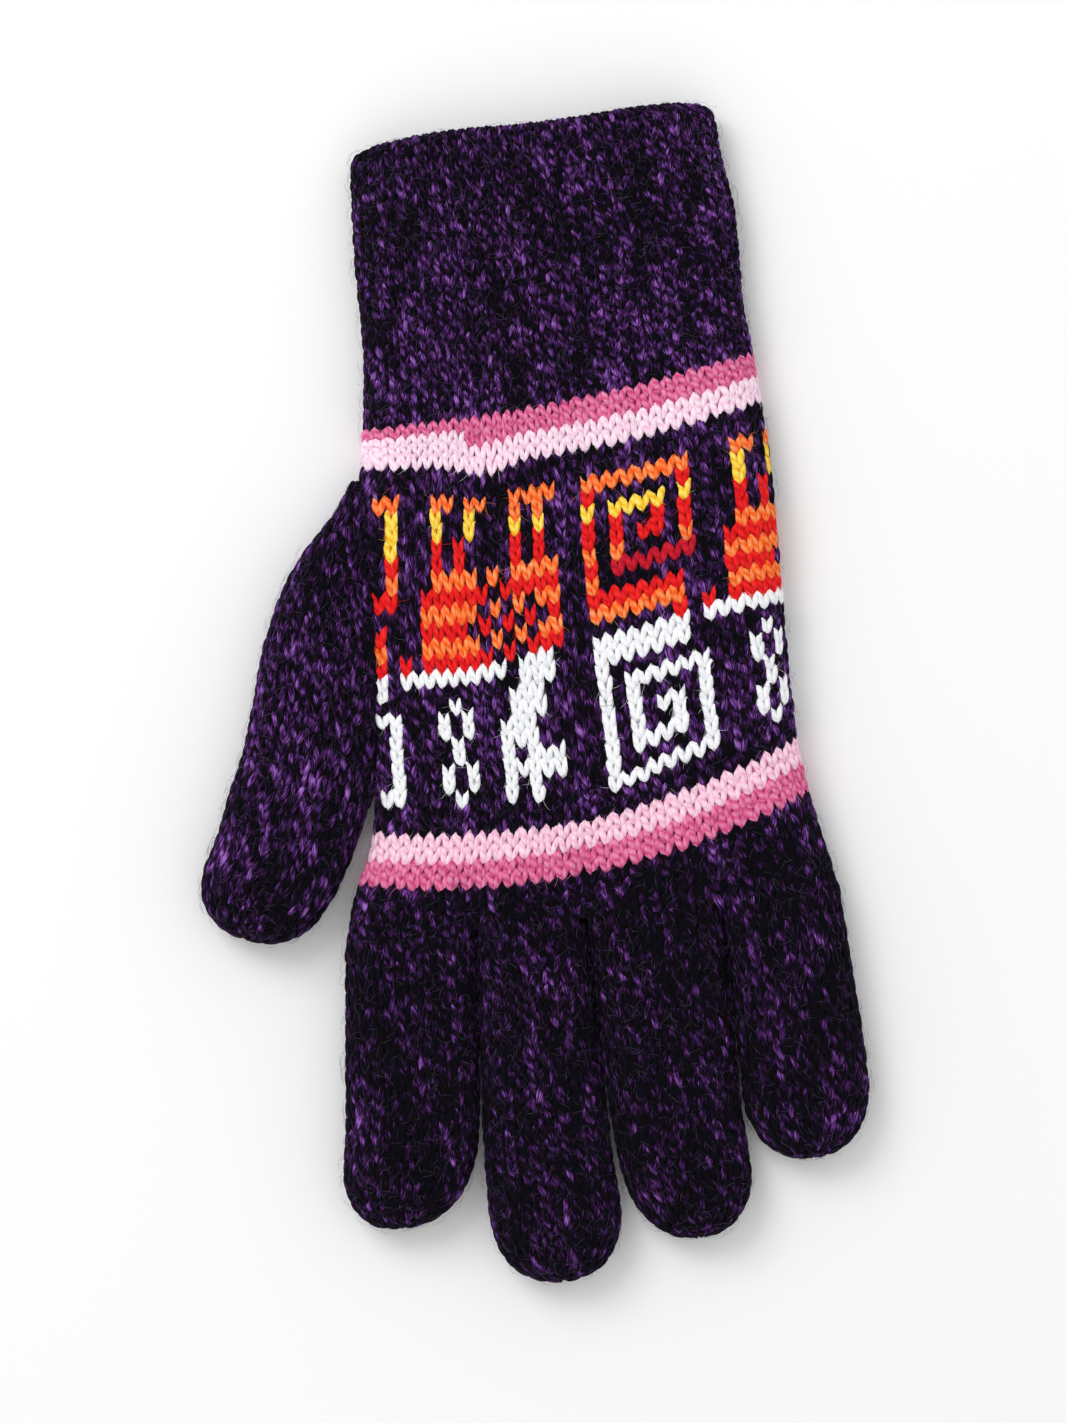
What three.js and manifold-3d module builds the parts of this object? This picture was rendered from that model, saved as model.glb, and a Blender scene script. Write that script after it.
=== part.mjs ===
// Alpaca glove for the left hand, hand-knitted in the round and lying flat with its back up.
// Millimetres. +Z up, +Y towards the cuff, the thumb on the -X side. The origin is on the
// surface it lies on, under the middle of the palm.

import * as THREE from 'three';
import { mergeVertices } from 'three/addons/utils/BufferGeometryUtils.js';
import Module from 'manifold-3d';

// Knitted cloth and the clearance between neighbouring pieces
const wall = 2.4;
const gap = 0.3;

// Cuff, from its seam with the hand to the turned rim
const cuffLength = 68;
const cuffThickness = 13;
const rimWidth = 77.2;
const rimWall = 3;
const rimTilt = 1;
const rimBow = -0.8;

// Hand, from the cuff to the fork of the fingers
const wristWidth = 85.1;
const palmWidth = 88.8;
const handLength = 99;
const handThickness = 15;
const valleyDepth = 3.4;
const valleyWidth = 3;

// Fingers, each measured from the fork to its tip
const fingerThickness = 13;
const indexWidth = 27.2;
const indexLength = 60.7;
const middleWidth = 22.8;
const middleLength = 75.2;
const ringWidth = 28.4;
const ringLength = 69;
const littleWidth = 24.8;
const littleLength = 54.9;
const fingerTipLength = 16;

// Thumb, from its root at the side of the hand to its tip, and the hole that joins them inside
const thumbLength = 93;
const thumbWidth = 28.6;
const thumbThickness = 13.6;
const thumbRootBelowCuff = 3;
const thumbTipLength = 12;
const thumbHoleLength = 28;
const thumbHoleHeight = 6.4;

// Shape of the sections: how square a tube's top, underside and finger base are, at what share
// of the thickness it is widest, and how far the round underside is pressed flat.
const handSquareness = 5;
const fingerSquareness = 3.4;
const undersideSquareness = 8;
const edgeShare = 0.45;
const pressedFlat = 0.08;

// Facets round a tube, and the steps along it
const handSides = 48;
const fingerSides = 24;
const thumbSides = 24;
const cuffSteps = 7;
const handSteps = 12;
const fingerSteps = 5;
const thumbSteps = 10;
const tipSteps = 4;

// Sections of the cuff. along: share of the cuff's length from the seam to the rim.
// wrist: share of the wrist's width, the rest is the rim's. shift: centre line, share of wristWidth.
const cuffSections = [
  { along: 0.00, wrist: 1.00, shift: 0.015 },
  { along: 0.19, wrist: 0.68, shift: 0.021 },
  { along: 0.40, wrist: 0.39, shift: 0.022 },
  { along: 0.66, wrist: 0.42, shift: 0.024 },
  { along: 0.84, wrist: 0.12, shift: 0.019 },
  { along: 1.00, wrist: 0.00, shift: 0.019 },
];

// Sections of the hand. along: share of the hand's length from the cuff. wrist, palm, knuckles:
// how much of each width the section has. shift: centre line, share of palmWidth. full: how far
// the thickness has grown from that of its ends to the hand's own.
const handSections = [
  { along: 0.00, wrist: 1.0, palm: 0.00, knuckles: 0.00, shift: 0.014, full: 0.0 },
  { along: 0.08, wrist: 0.5, palm: 0.50, knuckles: 0.00, shift: 0.008, full: 0.5 },
  { along: 0.29, wrist: 0.0, palm: 1.00, knuckles: 0.00, shift: -0.006, full: 1.0 },
  { along: 0.54, wrist: 0.0, palm: 1.00, knuckles: 0.00, shift: -0.011, full: 1.0 },
  { along: 0.68, wrist: 0.0, palm: 0.96, knuckles: 0.04, shift: -0.010, full: 1.0 },
  { along: 0.80, wrist: 0.0, palm: 0.74, knuckles: 0.26, shift: -0.013, full: 0.9 },
  { along: 0.91, wrist: 0.0, palm: 0.27, knuckles: 0.73, shift: -0.027, full: 0.4 },
  { along: 1.00, wrist: 0.0, palm: 0.00, knuckles: 1.00, shift: -0.032, full: 0.0 },
];

// Dents in the top of the hand and the cuff. across: share of the half width from the centre
// line. along: share of the hand's length from the cuff, negative on the cuff. wide, long: shares
// of the palm's width. deep: share of the hand's thickness.
const dents = [
  { across: -0.42, along: -0.02, wide: 0.07, long: 0.05, deep: 0.09 },
  { across: 0.30, along: 0.06, wide: 0.20, long: 0.07, deep: 0.05 },
  { across: -0.10, along: 0.62, wide: 0.30, long: 0.12, deep: 0.04 },
  { across: 0.55, along: -0.38, wide: 0.22, long: 0.20, deep: 0.04 },
];

// Fingers from the thumb side outwards. drift: how far the tip leans off the middle of the
// finger, share of its width.
const fingers = [
  { name: 'index_finger', width: indexWidth, length: indexLength, drift: -0.07 },
  { name: 'middle_finger', width: middleWidth, length: middleLength, drift: 0.05 },
  { name: 'ring_finger', width: ringWidth, length: ringLength, drift: 0.06 },
  { name: 'little_finger', width: littleWidth, length: littleLength, drift: -0.03 },
];

// Lines between the fingers and along the two outer sides, from the thumb side outwards.
// lean: how far the line goes outwards for each millimetre towards the tips.
const fingerLines = [
  { lean: -0.109 },
  { lean: -0.073 },
  { lean: 0.017 },
  { lean: 0.003 },
  { lean: 0.060 },
];

// Sections of a finger. along: share of its length from the fork. width: share of the space
// between its two lines. square: how far its base is still squared up against its neighbours.
const fingerSections = [
  { along: 0.00, width: 1.000, square: 1.0 },
  { along: 0.20, width: 1.000, square: 0.3 },
  { along: 0.50, width: 0.995, square: 0.0 },
  { along: 0.80, width: 0.975, square: 0.0 },
  { along: 1.00, width: 0.960, square: 0.0 },
];

// Sections of the thumb. along: share of its length from the root. away: how far its inner side
// stands off the side of the hand, share of its width; below zero it is let into the hand.
// width: share of the thumb's width. full: share of its thickness.
const thumbSections = [
  { along: 0.00, away: -0.06, width: 0.12, full: 0.60 },
  { along: 0.08, away: -0.12, width: 0.30, full: 0.76 },
  { along: 0.15, away: -0.18, width: 0.52, full: 0.88 },
  { along: 0.24, away: -0.23, width: 0.76, full: 0.96 },
  { along: 0.40, away: -0.21, width: 0.95, full: 1.00 },
  { along: 0.60, away: -0.07, width: 1.00, full: 1.00 },
  { along: 0.75, away: 0.11, width: 1.00, full: 1.00 },
  { along: 0.89, away: 0.24, width: 0.94, full: 1.00 },
  { along: 1.00, away: 0.32, width: 0.90, full: 1.00 },
];
const thumbHollowFrom = 0.15;
const thumbHoleAlong = 0.42;

// Places that follow from the sizes
const originShare = 0.535;
const seamY = handLength * originShare;
const forkY = seamY - handLength;
const rimY = seamY + cuffLength;
const seamThickness = (cuffThickness + handThickness) / 2;
const knuckleThickness = (handThickness + fingerThickness) / 2;
const knuckleWidth = fingers.reduce((sum, finger) => sum + finger.width + gap, -gap);

const wasm = await Module();
wasm.setup();

// A smooth value of one column of a table at a share between its rows
function valueAt(table, column, share) {
  const last = table.length - 1;
  const at = THREE.MathUtils.clamp(share, table[0].along, table[last].along);
  let row = 0;
  while (row < last - 1 && table[row + 1].along < at) {
    row += 1;
  }
  const slope = (index) => {
    const before = table[Math.max(index - 1, 0)];
    const after = table[Math.min(index + 1, last)];
    return (after[column] - before[column]) / (after.along - before.along);
  };
  const step = table[row + 1].along - table[row].along;
  const t = (at - table[row].along) / step;
  const keepStart = 2 * t ** 3 - 3 * t ** 2 + 1;
  const leaveStart = t ** 3 - 2 * t ** 2 + t;
  const reachEnd = t ** 3 - t ** 2;
  return keepStart * table[row][column] + (1 - keepStart) * table[row + 1][column]
    + step * (leaveStart * slope(row) + reachEnd * slope(row + 1));
}

// One quarter of a tube's section, from its widest point at the side to its middle line
class QuarterRound extends THREE.Curve {
  constructor(halfWidth, rise, squareness) {
    super();
    this.halfWidth = halfWidth;
    this.rise = rise;
    this.squareness = squareness;
  }

  getPoint(t) {
    const angle = (t * Math.PI) / 2;
    const across = Math.max(Math.cos(angle), 0) ** (2 / this.squareness);
    return new THREE.Vector3(this.halfWidth * across, this.rise * Math.sin(angle), 0);
  }
}

// The closed section of a tube that lies flat, as pairs of across and height, from the +X side
// over the top and back along the underside
function sectionLoop(halfWidth, low, high, edge, square, sides) {
  const quarter = sides / 4;
  const top = new QuarterRound(halfWidth, high, square).getSpacedPoints(quarter);
  const under = new QuarterRound(halfWidth, low, undersideSquareness).getSpacedPoints(quarter);
  const loop = [];
  for (let i = 0; i < quarter; i += 1) {
    loop.push({ across: top[i].x, height: edge + top[i].y, onTop: true });
  }
  for (let i = quarter; i > 0; i -= 1) {
    loop.push({ across: -top[i].x, height: edge + top[i].y, onTop: true });
  }
  for (let i = 0; i < quarter; i += 1) {
    loop.push({ across: -under[i].x, height: edge - under[i].y, onTop: false });
  }
  for (let i = quarter; i > 0; i -= 1) {
    loop.push({ across: under[i].x, height: edge - under[i].y, onTop: false });
  }
  return loop;
}

// A section of the given outer size, taken in by inset all round, as points in space.
// bend moves a point along the tube, press changes its height.
function ring(section, inset) {
  const { centre, side, width, thickness, square, sides, shrink = 1, flatten = 1 } = section;
  const edge = edgeShare * thickness;
  const halfWidth = (width / 2 - inset) * shrink;
  const low = (edge - inset + (inset > 0 ? 0 : pressedFlat)) * flatten;
  const high = (thickness - edge - inset) * flatten;
  return sectionLoop(halfWidth, low, high, edge, square, sides).map((point) => {
    const place = centre.clone().addScaledVector(side, point.across);
    const sideways = point.across / (width / 2);
    const lift = section.press ? section.press(place.x, sideways, point.onTop) : 0;
    const slide = section.bend ? section.bend(sideways) : 0;
    const height = Math.max(point.height + lift, inset < 0 ? inset : 0);
    return new THREE.Vector3(place.x, place.y + slide, height);
  });
}

function middleOf(loop) {
  const sum = loop.reduce((total, point) => total.add(point), new THREE.Vector3());
  return sum.divideScalar(loop.length);
}

// Skin through a row of loops. With closed set the last loop joins the first, as in the wall of
// an open tube; otherwise each end is closed at a point.
function skin(loops, closed, ends = []) {
  const sides = loops[0].length;
  const points = loops.flat();
  const faces = [];
  const pairs = closed ? loops.length : loops.length - 1;
  for (let j = 0; j < pairs; j += 1) {
    const here = j * sides;
    const next = ((j + 1) % loops.length) * sides;
    for (let i = 0; i < sides; i += 1) {
      const k = (i + 1) % sides;
      faces.push(here + i, here + k, next + k);
      faces.push(here + i, next + k, next + i);
    }
  }
  if (!closed) {
    const start = points.length;
    const end = start + 1;
    const lastLoop = (loops.length - 1) * sides;
    points.push(ends[0] ?? middleOf(loops[0]), ends[1] ?? middleOf(loops.at(-1)));
    for (let i = 0; i < sides; i += 1) {
      const k = (i + 1) % sides;
      faces.push(start, k, i);
      faces.push(lastLoop + i, lastLoop + k, end);
    }
  }
  const geometry = new THREE.BufferGeometry().setFromPoints(points);
  geometry.setIndex(faces);
  return geometry;
}

function toSolid(geometry) {
  const vertProperties = new Float32Array(geometry.attributes.position.array);
  const triVerts = new Uint32Array(geometry.index.array);
  return new wasm.Manifold(new wasm.Mesh({ numProp: 3, vertProperties, triVerts }));
}

function toGeometry(solid) {
  const mesh = solid.getMesh();
  const geometry = new THREE.BufferGeometry();
  geometry.setAttribute('position', new THREE.BufferAttribute(mesh.vertProperties, 3));
  geometry.setIndex(new THREE.BufferAttribute(mesh.triVerts, 1));
  return geometry;
}

function steps(count) {
  return Array.from({ length: count + 1 }, (_, i) => i / count);
}

// Where the lines between the fingers start at the fork
const knuckleShift = handSections.at(-1).shift * palmWidth;
const fingerStarts = fingers.map((finger, index) => {
  const before = fingers.slice(0, index).reduce((sum, other) => sum + other.width + gap, 0);
  return knuckleShift - knuckleWidth / 2 + before;
});

// How the top is pressed down by the dents, and by the valleys that run up from the fork
function pressHand(x, sideways, y) {
  const along = (seamY - y) / handLength;
  let lift = 0;
  for (const dent of dents) {
    const offAcross = ((sideways - dent.across) * palmWidth) / 2 / (dent.wide * palmWidth);
    const offAlong = ((along - dent.along) * handLength) / (dent.long * palmWidth);
    lift -= dent.deep * handThickness * Math.exp(-(offAcross ** 2) - offAlong ** 2);
  }
  return lift;
}

function pressValleys(x, y) {
  const nearFork = THREE.MathUtils.smoothstep(y, forkY, forkY + 0.16 * handLength);
  let lift = 0;
  for (const start of fingerStarts.slice(1)) {
    const off = (x - (start - gap / 2)) / valleyWidth;
    lift -= valleyDepth * (1 - nearFork) * Math.exp(-(off ** 2));
  }
  return lift;
}

// Section of the cuff at a share of its length from the seam
function cuffSection(along) {
  const y = seamY + gap + along * (cuffLength - gap);
  const wrist = valueAt(cuffSections, 'wrist', along);
  const shift = valueAt(cuffSections, 'shift', along) * wristWidth;
  return {
    centre: new THREE.Vector3(shift, y, 0),
    side: new THREE.Vector3(1, 0, 0),
    width: wrist * wristWidth + (1 - wrist) * rimWidth,
    thickness: THREE.MathUtils.lerp(seamThickness, cuffThickness, along),
    square: handSquareness,
    sides: handSides,
    bend: (sideways) => along * (rimTilt * sideways + rimBow * sideways ** 2),
    press: (x, sideways, onTop) => (onTop ? pressHand(x, sideways, y) : 0),
  };
}

// The cuff's wall, with a rim rounded over from the outside to the inside
function cuffGeometry() {
  const body = steps(cuffSteps).map((share) => share * (1 - rimWall / cuffLength));
  const lip = rimWall / 2;
  const outside = body.map((along) => ring(cuffSection(along), 0)).reverse();
  const inside = body.map((along) => {
    const thicker = THREE.MathUtils.smoothstep(along, 0.8, 1) * (rimWall - wall);
    return ring(cuffSection(along), wall + thicker);
  });
  const over = steps(tipSteps + 2).slice(1, -1).map((share) => {
    const angle = share * Math.PI;
    const along = 1 - (rimWall - 2 * lip * Math.sin(angle)) / cuffLength;
    return ring(cuffSection(along), lip - lip * Math.cos(angle));
  }).reverse();
  return skin([...over, ...outside, ...inside], true);
}

// Section of the hand at a share of its length from the cuff
function handSection(along) {
  const y = seamY - along * handLength;
  const full = valueAt(handSections, 'full', along);
  const ends = along < originShare ? seamThickness : knuckleThickness;
  return {
    centre: new THREE.Vector3(valueAt(handSections, 'shift', along) * palmWidth, y, 0),
    side: new THREE.Vector3(1, 0, 0),
    width: valueAt(handSections, 'wrist', along) * wristWidth
      + valueAt(handSections, 'palm', along) * palmWidth
      + valueAt(handSections, 'knuckles', along) * knuckleWidth,
    thickness: THREE.MathUtils.lerp(ends, handThickness, full),
    square: handSquareness,
    sides: handSides,
    press: (x, sideways, onTop) => {
      const valleys = pressValleys(x, y);
      return onTop ? pressHand(x, sideways, y) + valleys : -valleys / 2;
    },
  };
}

function handOuter(inset) {
  return steps(handSteps).map((along) => ring(handSection(along), inset));
}

function handSideX(y) {
  const section = handSection(THREE.MathUtils.clamp((seamY - y) / handLength, 0, 1));
  return section.centre.x - section.width / 2;
}

// Section of a finger at a distance from the fork, between its two lines
function fingerSection(index, distance) {
  const finger = fingers[index];
  const along = distance / finger.length;
  const left = fingerStarts[index] + fingerLines[index].lean * distance;
  const right = fingerStarts[index] + finger.width + fingerLines[index + 1].lean * distance;
  const square = valueAt(fingerSections, 'square', along);
  const drift = finger.drift * finger.width * THREE.MathUtils.smoothstep(along, 0.6, 1);
  return {
    centre: new THREE.Vector3((left + right) / 2 + drift, forkY - gap - distance, 0),
    side: new THREE.Vector3(1, 0, 0),
    width: (right - left) * valueAt(fingerSections, 'width', along),
    thickness: THREE.MathUtils.lerp(fingerThickness, knuckleThickness, square),
    square: THREE.MathUtils.lerp(fingerSquareness, handSquareness, square),
    sides: fingerSides,
  };
}

// Loops from the open end of a finger to its rounded tip, and the tip's point.
// sectionAt gives the section at a distance from the open end.
function tubeToTip(sectionAt, from, length, tipLength, inset, bodySteps) {
  const reach = length - inset;
  const tip = tipLength - inset;
  const loops = steps(bodySteps).map((share) => {
    return ring(sectionAt(from + share * (reach - tip - from)), inset);
  });
  for (const share of steps(tipSteps).slice(1, -1)) {
    const angle = (share * Math.PI) / 2;
    const out = Math.sin(angle) ** 0.9;
    const section = sectionAt(reach - tip + tip * out);
    section.shrink = Math.cos(angle) ** 0.9;
    section.flatten = Math.sqrt(1 - out ** 4);
    loops.push(ring(section, inset));
  }
  const last = sectionAt(reach);
  const point = last.centre.clone().setZ(edgeShare * last.thickness);
  return { loops, point };
}

function fingerGeometry(index) {
  const { length } = fingers[index];
  const sectionAt = (distance) => fingerSection(index, distance);
  const outer = tubeToTip(sectionAt, 0, length, fingerTipLength, 0, fingerSteps);
  const inner = tubeToTip(sectionAt, 0, length, fingerTipLength, wall, fingerSteps);
  return skin([...inner.loops.reverse(), ...outer.loops], false, [inner.point, outer.point]);
}

// Centre of the thumb at a distance from its root
function thumbCentre(distance) {
  const along = distance / thumbLength;
  const y = seamY - thumbRootBelowCuff - distance;
  const inner = handSideX(y) - valueAt(thumbSections, 'away', along) * thumbWidth;
  return new THREE.Vector3(inner - (valueAt(thumbSections, 'width', along) * thumbWidth) / 2, y, 0);
}

function thumbSection(distance) {
  const along = distance / thumbLength;
  const reach = 0.06 * thumbLength;
  const ahead = thumbCentre(Math.min(distance + reach, thumbLength));
  const run = ahead.sub(thumbCentre(Math.max(distance - reach, 0))).normalize();
  return {
    centre: thumbCentre(distance),
    side: new THREE.Vector3(-run.y, run.x, 0),
    width: valueAt(thumbSections, 'width', along) * thumbWidth,
    thickness: valueAt(thumbSections, 'full', along) * thumbThickness,
    square: fingerSquareness,
    sides: thumbSides,
  };
}

function thumbSolid(from, inset) {
  const start = from * thumbLength;
  const tube = tubeToTip(thumbSection, start, thumbLength, thumbTipLength, inset, thumbSteps);
  return toSolid(skin(tube.loops, false, [undefined, tube.point]));
}

// The hole through the side of the hand, where the thumb goes in
function thumbHole() {
  const y = seamY - thumbRootBelowCuff - thumbHoleAlong * thumbLength;
  const deep = 4 * wall;
  const box = new THREE.BoxGeometry(deep, thumbHoleLength, thumbHoleHeight);
  box.translate(handSideX(y) + deep / 4, y, edgeShare * handThickness);
  box.deleteAttribute('normal');
  box.deleteAttribute('uv');
  return toSolid(mergeVertices(box));
}

const hole = thumbHole();

function handGeometry() {
  const shell = toSolid(skin([...handOuter(0), ...handOuter(wall).reverse()], true));
  return toGeometry(shell.subtract(hole));
}

// The thumb is cut to lie against the hand, and opens into it through the hole
function thumbGeometry() {
  const shell = thumbSolid(0, 0).subtract(thumbSolid(thumbHollowFrom, wall));
  const handSpace = toSolid(skin(handOuter(-gap), false));
  return toGeometry(shell.subtract(handSpace).subtract(hole));
}

const group = new THREE.Group();

function addKnit(name, geometry, color) {
  const material = new THREE.MeshStandardMaterial({ color, roughness: 0.95, metalness: 0 });
  const mesh = new THREE.Mesh(geometry, material);
  mesh.name = name;
  group.add(mesh);
}

addKnit('cuff', cuffGeometry(), 0x2e2538);
addKnit('hand', handGeometry(), 0x32293c);
addKnit('thumb', thumbGeometry(), 0x2e2538);
fingers.forEach((finger, index) => {
  addKnit(finger.name, fingerGeometry(index), 0x2e2538);
});

export default group;
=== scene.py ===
import functools
import math

import bpy
import numpy as np
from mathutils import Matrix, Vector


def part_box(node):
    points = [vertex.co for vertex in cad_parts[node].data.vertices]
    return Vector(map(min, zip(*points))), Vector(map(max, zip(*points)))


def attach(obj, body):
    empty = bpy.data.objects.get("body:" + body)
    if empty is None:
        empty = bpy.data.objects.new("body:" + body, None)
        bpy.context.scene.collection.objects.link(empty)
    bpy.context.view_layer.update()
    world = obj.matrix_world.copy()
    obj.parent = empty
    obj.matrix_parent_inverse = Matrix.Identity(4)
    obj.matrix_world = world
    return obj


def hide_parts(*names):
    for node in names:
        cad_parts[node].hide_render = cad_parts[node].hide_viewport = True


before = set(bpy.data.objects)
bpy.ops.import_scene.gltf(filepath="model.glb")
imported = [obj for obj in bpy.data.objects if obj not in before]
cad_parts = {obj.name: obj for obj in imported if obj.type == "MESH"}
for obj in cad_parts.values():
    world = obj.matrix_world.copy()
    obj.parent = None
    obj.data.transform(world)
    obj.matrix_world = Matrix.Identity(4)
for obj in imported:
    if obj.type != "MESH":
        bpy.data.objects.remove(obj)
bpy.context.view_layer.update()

# The view. The photograph looks straight down on the glove, cuff uppermost, and the glove lies
# turned a few degrees in the picture. All lengths are in metres, angles in degrees.
GLOVE_TURN = 6
PICTURE_HEIGHT = 0.2967
PICTURE_MIDDLE = (-0.0107, -0.0018)
CAMERA_HEIGHT = 1.1
LONG_SENSOR_SIDE = 36
GLOVE_TOP = 0.012
NEAREST_SEEN = 0.05

bpy.ops.object.select_all(action="DESELECT")
bpy.ops.object.camera_add(
    location=(*PICTURE_MIDDLE, CAMERA_HEIGHT), rotation=(0, 0, math.radians(-GLOVE_TURN)))
camera = bpy.context.object
camera.name = "view_from_above"
camera.data.sensor_width = LONG_SENSOR_SIDE
camera.data.lens = LONG_SENSOR_SIDE * (CAMERA_HEIGHT - GLOVE_TOP) / PICTURE_HEIGHT
camera.data.clip_start = NEAREST_SEEN
bpy.context.scene.camera = camera

# The tube of the cuff and the hand. The real glove is one tube of soft marled alpaca, knitted in
# the round from the turned rim down to the fork of the fingers. It lies flat with a pressed
# underside and a crowned top, and its rows sag across the back.
MM = 0.001
WALL = 2.4 * MM
RIM_WALL = 3 * MM
SEAM_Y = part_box("hand")[1][1]
FORK_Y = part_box("hand")[0][1]
CUFF_LENGTH = 68 * MM
HAND_LENGTH = SEAM_Y - FORK_Y
RIM_Y = SEAM_Y + CUFF_LENGTH
WRIST_WIDTH = 85.1 * MM
RIM_WIDTH = 77.2 * MM
PALM_WIDTH = 88.8 * MM
KNUCKLE_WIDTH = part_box("hand")[1][0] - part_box("hand")[0][0]
CUFF_THICKNESS = 13 * MM
HAND_THICKNESS = 15 * MM
FINGER_THICKNESS = 13 * MM
SEAM_THICKNESS = (CUFF_THICKNESS + HAND_THICKNESS) / 2
KNUCKLE_THICKNESS = (HAND_THICKNESS + FINGER_THICKNESS) / 2
RIM_TILT = 1 * MM
RIM_BOW = -0.8 * MM
RIM_CORNER = 1.7 * MM
RIM_CORNER_POWER = 16
RIM_WAVE = 0.40 * MM
RIM_WAVE_RATE = 5.2
RIM_WAVE_START = 1.1
RIM_BEND_FROM = 0.75
THICKEST_ALONG = 0.535
EDGE_SHARE = 0.45
HAND_SQUARENESS = 5
FINGER_SQUARENESS = 3.4
UNDERSIDE_SQUARENESS = 8
ROUND_STEPS = 288
QUARTER_STEPS = 90

CUFF_SECTIONS = [
    {"along": 0.00, "wrist": 1.00, "shift": 0.015},
    {"along": 0.19, "wrist": 0.68, "shift": 0.021},
    {"along": 0.40, "wrist": 0.39, "shift": 0.022},
    {"along": 0.66, "wrist": 0.42, "shift": 0.024},
    {"along": 0.84, "wrist": 0.12, "shift": 0.019},
    {"along": 1.00, "wrist": 0.00, "shift": 0.019},
]
HAND_SECTIONS = [
    {"along": 0.00, "wrist": 1.0, "palm": 0.00, "knuckles": 0.00, "shift": 0.014, "full": 0.0},
    {"along": 0.08, "wrist": 0.5, "palm": 0.50, "knuckles": 0.00, "shift": 0.008, "full": 0.5},
    {"along": 0.29, "wrist": 0.0, "palm": 1.00, "knuckles": 0.00, "shift": -0.006, "full": 1.0},
    {"along": 0.54, "wrist": 0.0, "palm": 1.00, "knuckles": 0.00, "shift": -0.011, "full": 1.0},
    {"along": 0.68, "wrist": 0.0, "palm": 0.96, "knuckles": 0.04, "shift": -0.010, "full": 1.0},
    {"along": 0.80, "wrist": 0.0, "palm": 0.74, "knuckles": 0.26, "shift": -0.013, "full": 0.9},
    {"along": 0.91, "wrist": 0.0, "palm": 0.27, "knuckles": 0.73, "shift": -0.027, "full": 0.4},
    {"along": 1.00, "wrist": 0.0, "palm": 0.00, "knuckles": 1.00, "shift": -0.032, "full": 0.0},
]
DENTS = [
    {"across": -0.42, "along": -0.02, "wide": 0.07, "long": 0.05, "deep": 0.09},
    {"across": 0.30, "along": 0.06, "wide": 0.20, "long": 0.07, "deep": 0.05},
    {"across": -0.10, "along": 0.62, "wide": 0.30, "long": 0.12, "deep": 0.04},
    {"across": 0.55, "along": -0.38, "wide": 0.22, "long": 0.20, "deep": 0.04},
]
FINGERS = [
    {"name": "index_finger", "width": 27.2 * MM, "length": 60.7 * MM, "drift": -0.07},
    {"name": "middle_finger", "width": 22.8 * MM, "length": 75.2 * MM, "drift": 0.05},
    {"name": "ring_finger", "width": 28.4 * MM, "length": 69.0 * MM, "drift": 0.06},
    {"name": "little_finger", "width": 24.8 * MM, "length": 54.9 * MM, "drift": -0.03},
]
FINGER_GAP = 0.3 * MM
VALLEY_DEPTH = 3.4 * MM
VALLEY_WIDTH = 3 * MM
VALLEY_LENGTH = 0.16


def value_at(table, column, share):
    """A smooth value of one column of a table at shares between its rows."""
    along = np.array([row["along"] for row in table], float)
    value = np.array([row[column] for row in table], float)
    before = np.maximum(np.arange(len(along)) - 1, 0)
    after = np.minimum(np.arange(len(along)) + 1, len(along) - 1)
    slope = (value[after] - value[before]) / (along[after] - along[before])
    at = np.clip(share, along[0], along[-1])
    row = np.clip(np.searchsorted(along, at, side="right") - 1, 0, len(along) - 2)
    step = along[row + 1] - along[row]
    t = (at - along[row]) / step
    keep = 2 * t ** 3 - 3 * t ** 2 + 1
    leave = (t ** 3 - 2 * t ** 2 + t) * step * slope[row]
    reach = (t ** 3 - t ** 2) * step * slope[row + 1]
    return keep * value[row] + (1 - keep) * value[row + 1] + leave + reach


def smooth_step(value, low, high):
    """A smooth rise from 0 at low to 1 at high."""
    t = np.clip((value - low) / (high - low), 0, 1)
    return t * t * (3 - 2 * t)


def section_loop(half_width, low, high, edge, square):
    """A flat tube's section at even steps round it, from its top middle towards +X."""
    angle = np.linspace(0, math.pi / 2, QUARTER_STEPS)
    top = np.cos(angle[::-1]).clip(0) ** (2 / square) * half_width
    top_height = edge + high * np.sin(angle[::-1])
    under = np.cos(angle).clip(0) ** (2 / UNDERSIDE_SQUARENESS) * half_width
    under_height = edge - low * np.sin(angle)
    across = np.concatenate([top, under[1:], -under[-2::-1], -top[-2::-1]])
    height = np.concatenate(
        [top_height, under_height[1:], under_height[-2::-1], top_height[-2::-1]])
    run = np.concatenate([[0], np.cumsum(np.hypot(np.diff(across), np.diff(height)))])
    even = np.arange(ROUND_STEPS) / ROUND_STEPS * run[-1]
    return np.interp(even, run, across), np.interp(even, run, height)


def ring(section, inset):
    """Points round a section that is taken in by inset, and how far each lies from side to side."""
    edge = EDGE_SHARE * section["thickness"]
    shrink = section.get("shrink", 1)
    flatten = section.get("flatten", 1)
    across, height = section_loop(
        (section["width"] / 2 - inset) * shrink, (edge - inset) * flatten,
        (section["thickness"] - edge - inset) * flatten, edge, section["square"])
    sideways = across / (section["width"] / 2)
    centre = section["centre"]
    side = section.get("side", (1, 0))
    x = centre[0] + side[0] * across
    y = centre[1] + side[1] * across
    if "settle" in section:
        height = edge + (height - edge) * section["settle"](x, sideways, height > edge)
    if "press" in section:
        height = height + section["press"](x, sideways, height > edge)
    if "bend" in section:
        y = y + section["bend"](sideways)
    return np.stack([x, y, np.maximum(height, 0)], axis=1), sideways


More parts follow.
